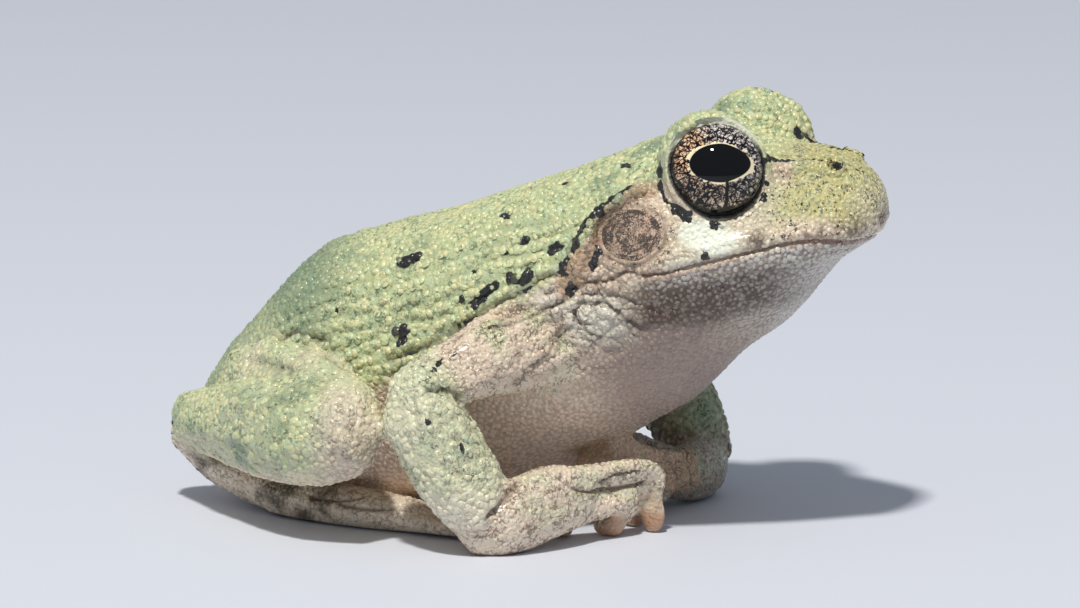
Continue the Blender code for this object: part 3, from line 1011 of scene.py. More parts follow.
    def _refine(self) -> None:
        """Splits long edges, down to fine ones round lids, lips, nostrils, folds and marks."""
        surface = self.surface
        tree = surface.tree()
        crisp = [fold for fold in self.folds if fold.width < self.crisp]
        lines = [(path, fold.width) for fold in crisp for path in fold.paths(tree)]
        lines += [(path, mark.radius) for mark in self.marks for path in mark.paths(tree)]
        for margin in self.margins:
            ends = surface.points[surface.edges]
            lengths = np.linalg.norm(ends[:, 0] - ends[:, 1], axis=1)
            limit = self._longest_edge(ends.mean(1), lines, margin)
            chosen = set(np.nonzero(lengths > 1.35 * limit)[0].tolist())
            shape = bmesh.new()
            shape.from_mesh(surface.item.data)
            split = [edge for i, edge in enumerate(shape.edges) if i in chosen]
            bmesh.ops.subdivide_edges(shape, edges=split, cuts=1, smooth=0.0)
            bmesh.ops.triangulate(shape, faces=[f for f in shape.faces if len(f.verts) > 3])
            shape.to_mesh(surface.item.data)
            shape.free()
            surface.read()
            surface.eased(1, np.full(len(surface.points), 0.7))
        LOG.info("refined skin has %d points", len(surface.points))

    def _longest_edge(
        self, middles: Array, lines: list[tuple[Array, float]], margin: float,
    ) -> Array:
        """How long an edge of the skin may be at some places.

        Args:
            middles: The middles of the edges.
            lines: The paths of the fine forms, with their widths.
            margin: How far round a fine form the mesh is fine too.

        Returns:
            The lengths in millimetres.
        """
        limit = np.where(self._worked(middles), self.worked, self.longest)
        for path, width in lines:
            near, away, _ = near_path(middles, path, width + margin)
            limit[near[away < width + margin]] = self.shortest
        for seat in self.seats:
            seen = local(middles, seat.matrix())
            ring = (np.linalg.norm(seen, axis=1) < 3.0) & (np.abs(seen[:, 2] - 0.55) < 0.25 + margin)
            limit[ring] = self.shortest
        for drum in self.drums:
            reached, _ = drum.seen(middles)
            limit[np.abs(reached - 1.1) < 0.15 + 0.3 * margin] = 1.5 * self.shortest
        return limit

    def _worked(self, points: Array) -> Array:
        """Which places have pleats, wrinkles or small forms, and so need a finer mesh.

        Args:
            points: The places.

        Returns:
            True for those.
        """
        found = self._fineness(points) > 0.5
        found |= flank(TURN.straight(points)) > 0.2
        for centre, radius, _, _ in self.wrinkled:
            for middle in TURN.twins(centre):
                found |= np.linalg.norm(points - middle, axis=1) < radius
        return found

    def _unwrap(self) -> None:
        """Unwraps the skin's own shape, for the beads to take their place on it from."""
        item = self.surface.item
        bpy.context.view_layer.objects.active = item
        item.select_set(True)
        item.data.uv_layers.new(name="OFBake")
        bpy.ops.object.mode_set(mode="EDIT")
        bpy.ops.mesh.select_all(action="SELECT")
        bpy.ops.uv.smart_project(angle_limit=1.15, island_margin=0.004)
        bpy.ops.object.mode_set(mode="OBJECT")
        item.select_set(False)

    def _sculpt(self) -> None:
        """Raises and presses the folds, the pleats of the flanks and the loose wrinkles."""
        surface = self.surface
        tree = surface.tree()
        points = surface.points
        count = len(points)
        rise, self.crease, self.furrow = np.zeros(count), np.zeros(count), np.zeros(count)
        for fold in self.folds:
            share = fold.share(points, tree)
            rise += fold.height * share
            # each fold's groove gets its painted shade in colour
            self.crease = np.maximum(self.crease, fold.tone * share)
        rise += self._pleats(points)
        rise += self._wrinkles(points)
        body = step(points[:, 0], 9.0, 6.0) * step(points[:, 2], 0.3, 2.0)
        rise += body * (0.06 * noise(points, 1.3, 41) + 0.03 * noise(points, 0.6, 43))
        for middle in TURN.twins(NOSTRIL):
            off = np.linalg.norm(points - np.array(tree.find_nearest(tuple(middle[0]))[0]), axis=1)
            rise += 0.2 * bell(off, 0.46, 0.16) - 0.34 * step(off, 0.34, 0.12)
        for drum in self.drums:
            reached, height = drum.seen(points)
            inside = step(reached, 1.16, 0.98)
            rise = rise * (1.0 - inside) + inside * np.where(reached < 2.0, -0.1 - height, 0.0)
            rise += 0.09 * bell(reached, 1.24, 0.13)
        surface.push(rise)
        clipped(surface)

    def _pleats(self, points: Array) -> Array:
        """The rows of pleats along the flanks.

        Args:
            points: The places.

        Returns:
            How much they lift each place.
        """
        straight = TURN.straight(points)
        side = flank(straight)
        level = straight[:, 2] * math.cos(self.pleat_angle) - straight[:, 0] * math.sin(self.pleat_angle)
        level += 0.45 * noise(points, 2.2, 21) + 0.1 * noise(points, 0.7, 22)
        wave = np.sin(2 * math.pi * level / self.pleat_width)
        self.furrow = np.maximum(self.furrow, side * step(wave, -0.35, -0.85))
        return self.pleat_height * side * wave

    def _wrinkles(self, points: Array) -> Array:
        """The net of wrinkles at the shoulders, the throat and the limbs.

        Args:
            points: The places.

        Returns:
            How much they lift each place.
        """
        rise = np.zeros(len(points))
        for centre, radius, height, size in self.wrinkled:
            for middle in TURN.twins(centre):
                away = np.linalg.norm(points - middle, axis=1)
                near = away < radius * 1.3
                fade = step(away[near], radius * 1.3, radius * 0.6)
                first, second = cells(points[near] * self.wrinkle_stretch, size, 31)
                line = step(second - first, 0.24, 0.0)
                rise[near] += height * fade * (0.5 * step(second - first, 0.1, 0.7) - line)
                self.furrow[near] = np.maximum(self.furrow[near], fade * line)
        return rise

    def _own(self) -> None:
        """Finds the region that each point of the skin belongs to."""
        corners, faces, regions = [], [], []
        for name, region in node_names().items():
            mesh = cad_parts[name].data
            start = len(corners)
            corners.extend((v.co / MM)[:] for v in mesh.vertices)
            faces.extend(tuple(start + i for i in face.vertices) for face in mesh.polygons)
            regions.extend([REGIONS.index(region)] * len(mesh.polygons))
        tree = BVHTree.FromPolygons(corners, faces)
        points = self.surface.points
        self.owners = np.array([regions[tree.find_nearest(tuple(p))[2]] for p in points])

    def share_of(self, *regions: Region) -> Array:
        """How much each point belongs to some regions, soft at their edges.

        Args:
            regions: The regions.

        Returns:
            The shares, from 0 to 1.
        """
        share = np.isin(self.owners, [REGIONS.index(region) for region in regions]).astype(float)
        for _ in range(4):
            share = self.surface.averaged(share)
        return share


@dataclass
class SkinMap:
    """How much of each colour and each coat of beads the points of the skin carry.

    The shares follow where a point lies on the frog that faces straight ahead, in
    millimetres: how far ahead, how far up, and how far away from the middle.
    """

    skin: Skin
    green_edge: tuple[tuple[float, float], ...] = (
        (-20.0, 5.5), (-16.0, 6.4), (-10.0, 7.2), (-6.8, 7.8), (-5.2, 8.5), (-3.4, 9.6),
        (-1.3, 10.9), (0.6, 12.1), (2.3, 13.3), (3.7, 14.4), (4.8, 15.6), (5.6, 16.9),
        (6.4, 18.1), (7.6, 19.2), (9.0, 19.9), (10.5, 20.2), (13.0, 20.0), (15.0, 20.4),
        (17.5, 20.4), (20.0, 20.0),
    )
    band: tuple[tuple[float, float], ...] = (
        (7.0, 13.2), (9.0, 13.6), (12.2, 13.8), (14.2, 14.4), (16.0, 14.8), (19.0, 15.6),
    )
    fold_tan: tuple[Point, ...] = (
        (9.21, -5.58, 19.6), (8.3, -5.9, 19.3), (7.6, -6.2, 18.7), (6.9, -6.6, 18.0),
        (6.5, -6.9, 17.1), (6.1, -7.3, 16.2), (5.6, -7.6, 15.2), (5.2, -7.7, 14.2),
    )
    pads: tuple[tuple[Point, float], ...] = (
        ((8.0, -2.4, 1.05), 1.5), ((6.5, -1.4, 0.75), 1.2), ((6.15, -4.2, 0.55), 1.4),
        ((4.0, -5.5, 0.38), 1.0), ((3.3, 3.1, 3.95), 1.1), ((6.3, 0.8, 0.45), 1.1),
        ((4.9, 1.0, 0.45), 1.1), ((3.5, 3.5, 0.4), 1.0),
    )
    rose_before_eye: Point = (15.6, -2.5, 20.55)
    rose_before_ear: Point = (9.5, -6.55, 17.75)

    def __post_init__(self) -> None:
        """Finds where each point lies and what the colours share."""
        surface, share_of = self.skin.surface, self.skin.share_of
        self.points, self.level = surface.points, surface.normals[:, 2]
        straight = TURN.straight(self.points)
        self.ahead, self.away, self.up = straight[:, 0], np.abs(straight[:, 1]), straight[:, 2]
        self.flank, self.right = flank(straight), TURN.brought_right(self.points)
        self.body = share_of(Region.HEAD, Region.TORSO)
        self.upper_arm, self.forearm = share_of(Region.UPPER_ARM), share_of(Region.FOREARM)
        self.thigh, self.shank = share_of(Region.THIGH), share_of(Region.SHANK)
        self.hand, self.foot = share_of(Region.HAND), share_of(Region.FOOT)
        self.cloud, self.dapple = noise(self.points, 1.6, 51), noise(self.points, 0.7, 53)
        self.ragged = self.cloud + 0.4 * self.dapple
        self.blotch = step(noise(self.points, 1.5, 61) + 0.5 * noise(self.points, 0.6, 62), 0.05, 0.45)
        edge = np.interp(self.ahead, *zip(*self.green_edge))
        self.above = step(self.up - edge + 0.3 * self.dapple, -0.25, 0.35)
        self.high, self.low = self.body * self.above, self.body * (1.0 - self.above)
        self._name_forms()
        self.lids, self.rim = self._near_eyes()
        self.drum, self.halo = self._near_drums()

    def _name_forms(self) -> None:
        """Finds the forms that more than one colour follows."""
        ahead, up, side = self.ahead, self.up, self.points[:, 1]
        self.snout = step(ahead, 13.5, 16.0) * step(up, 16.8, 17.6)
        self.knee = self.shank * step(ahead, -8.2, -5.5)
        # the foot's digits, partly cream and partly painted light
        self.toes = self.foot * step(ahead, -9.5, -7.5)
        self.lip = np.interp(ahead, [place[0] for place in MOUTH], [place[2] for place in MOUTH])
        self.jaw = self.body * step(up - self.lip, 0.1, -0.2) * step(ahead, 8.5, 10.0)
        chest = self.body * step(ahead, 16.5, 10.0) * step(up, 15.0, 11.8) * (1.0 - self.above)
        self.chest = chest * step(ahead, 4.0, 7.5)
        # the downward-facing underside, made rosier and less grey: painted bounce light
        self.belly = self.body * step(self.level, 0.1, -0.6) * step(ahead, 9.0, 3.0)
        shoulder = self.low * step(ahead, 8.5, 6.5) * step(ahead, 1.5, 4.0)
        self.shoulder = shoulder * step(up, 10.5, 12.0) * step(up, 14.6, 13.4)
        # the near forearm, made yellower and paler: painted light
        self.right_arm = self.forearm * step(side, 0.0, -2.0)
        # the far arm and hand, painted darker with teal and slate: painted shade
        self.shaded_far_arm = step(side, 0.5, 2.0) * (self.forearm + self.hand + self.upper_arm)
        off = np.linalg.norm(self.right - self.rose_before_eye, axis=1)
        self.eye_rose = step(off + 0.3 * self.ragged, 1.1, 0.35)
        off = np.linalg.norm(self.right - self.rose_before_ear, axis=1)
        self.ear_rose = self.body * step(off + 0.25 * self.ragged, 1.25, 0.55)

    def _near_eyes(self) -> tuple[Array, Array]:
        """The smooth skin of the lids, and their dark edge on the eyeball, partly painted shade, fainter at
        the top.

        Returns:
            The two shares.
        """
        share, rim = np.zeros(len(self.points)), np.zeros(len(self.points))
        for seat in self.skin.seats:
            seen = local(self.points, seat.matrix())
            away = np.linalg.norm(seen, axis=1)
            in_front = step(seen[:, 2], -0.4, 0.1)
            smooth = step(away, 3.03, 2.94) * in_front
            if seat.side is Side.LEFT:
                smooth *= step(0.6 * seen[:, 1] - 0.8 * seen[:, 0], 1.4, 0.6)
            share = np.maximum(share, smooth)
            # the dark edge is partly painted shade where the lid meets the eyeball, fainter at the top
            in_front *= 1.0 - 0.85 * step(seen[:, 1], 0.8, 1.9)
            rim = np.maximum(rim, step(away, 2.8, 2.73) * in_front)
        return share, rim

    def _near_drums(self) -> tuple[Array, Array]:
        """The seats of the eardrums and the tinted skin round them, with painted shade in the creases at
        their edges.

        Returns:
            The two shares.
        """
        drum, halo = np.zeros(len(self.points)), np.zeros(len(self.points))
        for seat in self.skin.drums:
            reached, _ = seat.seen(self.points)
            drum = np.maximum(drum, step(reached, 1.25, 1.1))
            halo = np.maximum(halo, self.body * step(reached + 0.12 * self.dapple, 1.55, 1.2))
            # painted shade in the groove round each eardrum's edge
            self.skin.crease = np.maximum(self.skin.crease, 0.8 * bell(reached, 1.07, 0.05))
        return drum, halo

    def _sum(self, **weights: float) -> Array:
        """The shares of some parts of the frog, each times its weight, added up."""
        return sum(weight * getattr(self, name) for name, weight in weights.items())

    def _keep(self, **shares: Array) -> None:
        """Keeps some shares, held between 0 and 1, as attributes of the skin."""
        for name, share in shares.items():
            self.skin.surface.store(name, np.clip(share, 0.0, 1.0))

    def keep(self) -> None:
        """Keeps every share that the finish and the coats of beads read."""
        self._green()
        self._teal_and_yellow()
        self._marble()
        self._pale()
        self._rosy()
        self._tan()
        self._specks()
        self._dark()
        self._beads()

    def _green(self) -> None:
        """Keeps the green of the back and of the tops of the limbs."""
        ahead, up, cloud, ragged = self.ahead, self.up, self.cloud, self.ragged
        top = step(self.level, -0.45, 0.15)
        green = self.high * (1.0 - 0.35 * self.snout)
        green = np.maximum(green, self.body * self.snout * step(up + 0.5 * ragged, 17.4, 18.8) * 0.8)
        green *= 1.0 - 0.75 * self.eye_rose - 0.45 * step(ahead, 18.0, 19.2) * step(up, 20.6, 19.0)
        green += step(self.level, -1.0, -0.25) * (self.shank * (0.95 + 0.15 * cloud) - 0.75 * self.knee)
        green += self.forearm * (0.8 + 0.35 * cloud) * step(up, 2.4, 4.5)
        green += self.upper_arm * step(ragged, 0.0, 0.5) * 0.6 * top
        green += self.thigh * (0.65 + 0.35 * cloud) * top
        green += self.hand * 0.4 * step(ragged, -0.1, 0.4) * top + self.foot * 0.1
        self._keep(green=green * (1.0 - 0.35 * self.lids), olive=self.body * self.snout * (1.0 - self.jaw))

    def _teal_and_yellow(self) -> None:
        """Keeps the teal of the rump, the nape and the limbs, with painted shade on the far arm and under
        the shanks, and where the green turns yellow, with painted light on the near forearm.
        """
        ahead, up, ragged = self.ahead, self.up, self.ragged
        teal = self.high * step(ahead, -7.5, -12.0)
        teal *= step(up + 0.8 * ragged, 15.8, 13.8) * (0.9 + 0.25 * self.cloud)
        teal *= 0.72 + 0.28 * step(up + 0.6 * ragged, 10.2, 12.2)
        nape = step(ahead, 3.0, 5.0) * step(ahead, 11.0, 9.0) * step(up, 18.6, 19.8)
        teal += self.body * nape * step(ragged, -0.05, 0.45) * 0.75
        teal += self.forearm * step(ragged, 0.1, 0.5) * 0.25
        # the teal on the downward-facing shank is painted shade
        teal += self.shank * (0.6 * step(ragged, 0.15, 0.6) + 0.45 * step(self.level, 0.1, -0.6))
        # the far arm's teal is painted shade
        teal += self.high * step(ragged, 0.45, 0.85) * 0.5 + 0.8 * self.shaded_far_arm
        yellow = self.high * (0.8 * step(ahead, 11.5, 13.5) + 0.3 * step(ahead, 2.0, -4.0))
        # the near forearm's yellow is painted light
        self._keep(teal=teal, yellowing=self.right_arm + 0.3 * self.upper_arm + yellow)

    def _marble(self) -> None:
        """Keeps the grey of the throat, the clay of the chest and the slate blotches, with painted shade on
        the far arm and between the beads.
        """
        ahead, up, body = self.ahead, self.up, self.body
        throat = body * step(ahead, 7.0, 10.5) * step(up, 15.8, 14.5) * (1.0 - self.above)
        grey = np.maximum(self.jaw, throat) * (0.85 - 0.6 * self.chest)
        # how strong the painted shade in the hollows between the beads is
        gaps = 0.18 + 0.55 * grey + 0.34 * body - 0.22 * self.flank - 0.1 * self.forearm
        off_band = np.abs(up - np.interp(ahead, *zip(*self.band)) + 0.35 * self.cloud)
        marble = body * step(off_band, 2.0, 0.6) * step(ahead, 6.5, 9.0) * step(ahead, 17.2, 14.0)
        # less slate on the foot's digits: painted light
        marble += self.foot * (0.05 + 0.95 * self.blotch) * (1.0 - 0.6 * self.toes)
        marble += 0.2 * self.knee * step(up, 7.5, 6.0)
        upper_lip = body * step(np.abs(up - self.lip - 0.75), 0.8, 0.3) * step(ahead, 12.5, 14.5)
        # slate on the far arm is painted shade
        marble += 0.8 * upper_lip * (1.0 - self.jaw) * self.blotch + 0.8 * self.shaded_far_arm
        # less grey on the downward-facing underside: painted bounce light
        self._keep(grey=grey * (1.0 - 0.5 * self.belly), chest=self.chest, gaps=gaps, marble=marble)

    def _pale(self) -> None:
        """Keeps the pale patch under the eye, the ridge over the lips and the lighter folds, with painted
        light on the near forearm and the foot's digits.
        """
        ahead, up = self.ahead, self.up
        cheek = np.hypot((ahead - 12.0) * 0.7 + (up - 17.3) * 0.25, (up - 17.2) * 1.15)
        patch = step(cheek + 0.3 * self.ragged, 1.4, 0.6)
        ridge = step(np.abs(up - self.lip - 0.42), 0.42, 0.12)
        ridge *= step(ahead, 9.3, 10.2) * step(ahead, 14.5, 12.5)
        pale = self.body * np.maximum(patch, 0.8 * ridge) * step(self.away, 4.0, 5.0)
        pale *= (1.0 - self.jaw) * (1.0 - 0.6 * self.ear_rose)
        # the near forearm and the foot's digits made paler here are painted light
        pale += self._sum(shoulder=0.55, toes=0.12, right_arm=0.28, knee=0.15, hand=0.12)
        pale += 0.12 * self.foot * (1.0 - self.blotch) + 0.55 * self.lids * step(up, 21.4, 22.4)
        self.pale = pale
        self._keep(pale=pale)

    def _rosy(self) -> None:
        """Keeps the rose of the limbs and of the front of the sides, painted bounce light on the underside,
        and the tint of the lips.
        """
        # the rose on the downward-facing underside is painted bounce light
        rosy = self._sum(knee=0.8, hand=0.65, foot=0.8, toes=0.6, belly=0.4, shoulder=0.8, ear_rose=0.6)
        rosy += self.eye_rose + 0.55 * self.upper_arm * step(self.ragged, 0.2, -0.2)
        rosy += self.low * step(self.ahead, 11.0, 6.0) * 0.5
        rosy += self.body * self.snout * step(self.up, 18.6, 17.2) * 0.6
        lips, _ = path_distance(self.right, curved(np.array(MOUTH)))
        self._keep(rosy=rosy, lips=step(lips, 0.42, 0.1))

    def _tan(self) -> None:
        """Keeps the tan of the fold behind the eye, the eardrum's edge and the tucked fingers."""
        off, _ = path_distance(self.right, curved(np.array(self.fold_tan)))
        tan = self.body * step(off + 0.25 * self.ragged, 0.75, 0.35) * step(self.ahead, 11.0, 9.0)
        tan = np.maximum(np.maximum(tan, 0.5 * self.ear_rose), 0.4 * self.halo)
        for finger in self.skin.tucked:
            near, off, _ = near_path(self.points, np.array([place for place, _ in finger]), 1.2)
            tan[near] = np.maximum(tan[near], step(off, 1.1, 0.8))
        self._keep(tan=tan)

    def _specks(self) -> None:
        """Keeps where the fine dark specks gather and where a net of thin lines lies."""
        cloud = self.cloud
        speck = 0.45 * self.low * step(self.ahead, 6.0, 12.0) + self.snout * self.body
        speck += self.upper_arm * (0.15 + 0.85 * step(cloud, -0.05, 0.35))
        speck += self.shank * (0.2 + 0.55 * step(cloud, 0.0, 0.4))
        speck += self.forearm * (0.25 + 0.9 * step(cloud, 0.0, 0.3))
        speck += self._sum(hand=0.6, foot=0.6, high=0.28, thigh=0.3, ear_rose=0.8, halo=0.9)
        net = self._sum(hand=0.8, foot=0.6, knee=0.5, upper_arm=0.75, forearm=0.3)
        net += self.low * step(self.ahead, 7.5, 5.0) * step(self.up, 8.5, 10.0) * 0.9
        self._keep(speck=speck * (1.0 - self.pale) * (1.0 - self.rim), net=net)

    def _dark(self) -> None:
        """Keeps the dark spots, the painted shade in creases and grooves, the dark edge of the lids with its
        painted shade, and the orange toe pads.
        """
        tree = self.skin.surface.tree()
        dark = np.max([mark.shade(self.points, tree) for mark in self.skin.marks], axis=0)
        # painted shade in the folds' grooves, round the eardrums and in the grooves of the pleats and
        # wrinkles
        crease = self.skin.crease + 0.32 * self.skin.furrow
        orange = np.zeros(len(self.points))
        for centre, radius in self.pads:
            off = np.linalg.norm(self.points - np.array(centre), axis=1)
            orange = np.maximum(orange, step(off, radius, radius * 0.5))
        orange *= (self.hand + self.foot) * step(self.level + 0.3 * self.dapple, 0.45, -0.25)
        self.orange = orange
        self._keep(dark=dark, crease=crease, rim=self.rim, orange=orange)

    def _beads(self) -> None:
        """Keeps where each coat of beads lies."""
        ahead, up, body, above = self.ahead, self.up, self.body, self.above
        bare = (1.0 - self.lids) * (1.0 - self.drum) * step(self.skin.crease, 0.6, 0.25)
        rows = bare * step(self.skin.furrow, 0.7, 0.2)
        back = body * above * step(ahead, 15.5, 13.0) * rows
        limbs = (self.shank + self.forearm + 0.9 * self.thigh) * rows * step(up, 0.4, 1.2)
        head = body * step(ahead, 7.5, 9.0)
        small = head * step(up, self.lip + 0.25, self.lip + 0.5) * bare * (1.0 - back)
        small += body * (1.0 - above) * step(ahead, 8.5, 7.0) * step(up, 11.5, 12.5) * bare * 0.8
        small += self.upper_arm * bare
        low = body * (1.0 - above) * bare - small * 0.8
        low += (self.hand + self.foot) * bare * step(up, 0.35, 0.8) * (1.0 - self.orange)
        self._keep(back_beads=back, limb_beads=limbs, small_beads=small, low_beads=low)


class NodeBench:
    """A node tree, with short ways to add nodes to it and to link them."""

    def __init__(self, tree: bpy.types.NodeTree) -> None:
        """Takes the tree to work on."""
        self.tree = tree

    def add(self, kind: str, inputs: dict | None = None, **settings: object) -> bpy.types.Node:
        """Adds a node.

        Args:
            kind: Its type.
            inputs: Sockets or plain values for its inputs, by name or place.
            settings: Its own properties.

        Returns:
            The node.
        """
        made = self.tree.nodes.new(kind)
        for key, value in settings.items():
            setattr(made, key, value)
        for key, value in (inputs or {}).items():
            self.join(value, made.inputs[key])
        return made

    def join(self, value: object, end: Socket) -> None:
        """Links a socket to an input, or sets the input to a plain value.

        Args:
            value: A socket, a number, or a few numbers.
            end: The input.
        """
        if isinstance(value, bpy.types.NodeSocket):
            self.tree.links.new(value, end)
        elif isinstance(value, tuple) and len(value) == 3 and end.type == "RGBA":
            end.default_value = (*value, 1.0)
        else:
            end.default_value = value


class Graph(NodeBench):
    """A material's node tree, with short ways to add what the finishes need."""

    def __init__(self, name: str) -> None:
        """Makes the material and the millimetre coordinates that its patterns read.

        Args:
            name: The material's name.
        """
        self.material = bpy.data.materials.new(name)
        self.material.use_nodes = True
        super().__init__(self.material.node_tree)
        self.surface = self.tree.nodes["Principled BSDF"]
        place = self.add("ShaderNodeMapping", {"Scale": (1 / MM, 1 / MM, 1 / MM)})
        self.join(self.add("ShaderNodeTexCoord").outputs["Object"], place.inputs["Vector"])
        self.place = place.outputs["Vector"]
        self.finish({"Metallic": 0.0})

    def finish(self, looks: dict[str, object]) -> None:
        """Sets or links the looks of the surface, by name."""
        for name, value in looks.items():
            self.join(value, self.surface.inputs[name])

    def attribute(self, name: str) -> Socket:
        """The number that the mesh keeps under a name."""
        return self.add("ShaderNodeAttribute", attribute_name=name).outputs["Fac"]

    def maths(self, operation: str, *values: object) -> Socket:
        """A sum of numbers or sockets."""
        return self.add("ShaderNodeMath", dict(enumerate(values)), operation=operation).outputs[0]

    def times(self, first: object, second: object) -> Socket:
        """One number or socket times another."""
        return self.maths("MULTIPLY", first, second)

    def plus(self, first: object, second: object) -> Socket:
        """One number or socket and another, added up."""
        return self.maths("ADD", first, second)

    def minus(self, first: object, second: object) -> Socket:
        """One number or socket less another."""
        return self.maths("SUBTRACT", first, second)

    def vectors(self, operation: str, inputs: dict[int, object]) -> bpy.types.Node:
        """A sum of vectors, given by the places of its inputs."""
        return self.add("ShaderNodeVectorMath", inputs, operation=operation)

    def span(self, value: object, low: float, high: float, first: float = 0.0, last: float = 1.0) -> Socket:
        """Carries a number smoothly from one range to another."""
        inputs = dict(enumerate((value, low, high, first, last)))
        return self.add("ShaderNodeMapRange", inputs, interpolation_type="SMOOTHSTEP").outputs[0]

    def noise(
        self, scale: float, detail: float = 3.0, roughness: float = 0.55, shift: float = 0.0,
        vector: Socket | None = None,
    ) -> Socket:
        """Cloudy noise from about 0.3 to 0.7.

        Args:
            scale: How many swellings fit in a millimetre, or in one unit of the vector.
            detail: How many finer layers it has.
            roughness: How strong they are.
            shift: Moves the pattern, so that two of the same size differ.
            vector: Where to read it, if not on the object's own place.

        Returns:
            The noise.
        """
        moved = {"Vector": vector or self.place, "Location": (shift, shift, shift)}
        place = self.add("ShaderNodeMapping", moved)
        inputs = {"Vector": place.outputs[0], "Scale": scale, "Detail": detail, "Roughness": roughness}
        return self.add("ShaderNodeTexNoise", inputs).outputs["Fac"]

    def shaken(self, vector: Socket, scale: float, detail: float, strength: float, middle: float) -> Socket:
        """Places shaken by noise, so that lines drawn on them wander.

        Args:
            vector: The places.
            scale: How fine the shake is.
            detail: How many finer layers it has.
            strength: How far it goes.
            middle: The noise that leaves a place where it is.

        Returns:
            The shaken places.
        """
        warp = self.add("ShaderNodeTexNoise", {"Vector": vector, "Scale": scale, "Detail": detail})
        shake = self.vectors("SUBTRACT", {0: warp.outputs["Color"], 1: (middle, middle, middle)})
        small = self.vectors("SCALE", {0: shake.outputs[0], 3: strength})
        return self.vectors("ADD", {0: vector, 1: small.outputs[0]}).outputs[0]

    def pebbles(self, per_mm: float, feature: str = "F1", vector: Socket | None = None) -> Socket:
        """The distance from scattered seeds, or from the edges between their cells."""
        inputs = {"Vector": vector or self.place, "Scale": per_mm}
        return self.add("ShaderNodeTexVoronoi", inputs, feature=feature).outputs["Distance"]

    def mix(self, share: object, first: object, second: object) -> Socket:
        """Mixes two colours."""
        inputs = {0: share, 6: first, 7: second}
        return self.add("ShaderNodeMix", inputs, data_type="RGBA", clamp_factor=True).outputs[2]

    def layers(self, colour: object, *coats: tuple[object, object]) -> Socket:
        """Lays colours over one another.

        Args:
            colour: The lowest.
            coats: The share and the colour of each one over it.

        Returns:
            The colour.
        """
        for share, over in coats:
            colour = self.mix(share, colour, over)
        return colour

    def bump(self, height: Socket, depth: float, under: Socket | None = None) -> Socket:
        """A bumpy normal.

        Args:
            height: The height, from 0 to 1.
            depth: How many millimetres that is.
            under: The normal beneath.

        Returns:
            The normal.
        """
        made = self.add("ShaderNodeBump", {"Height": height, "Distance": depth * MM})
        if under is not None:
            self.join(under, made.inputs["Normal"])
        return made.outputs["Normal"]

    def dress(self, item: Item) -> None:
        """Puts the material on an object in place of any other."""
        item.data.materials.clear()
        item.data.materials.append(self.material)


class SkinGraph(Graph):
    """The skin's node tree, with the noises that its colours share."""

    def __init__(self) -> None:
        """Makes the noises and the height on a bead."""
        super().__init__("frog_skin")
        self.cloud = self.noise(0.9)
        self.mid = self.noise(2.2, 3.0, 0.6, 7.0)
        self.fine = self.noise(5.5, 4.0, 0.6, 3.0)
        self.lift = self.plus(self.times(self.attribute("crown"), 0.85), self.minus(self.fine, 0.3))

    def part(self, name: str, strength: float) -> Socket:
        """A share of the skin's own, less strong."""
        return self.times(self.attribute(name), strength)


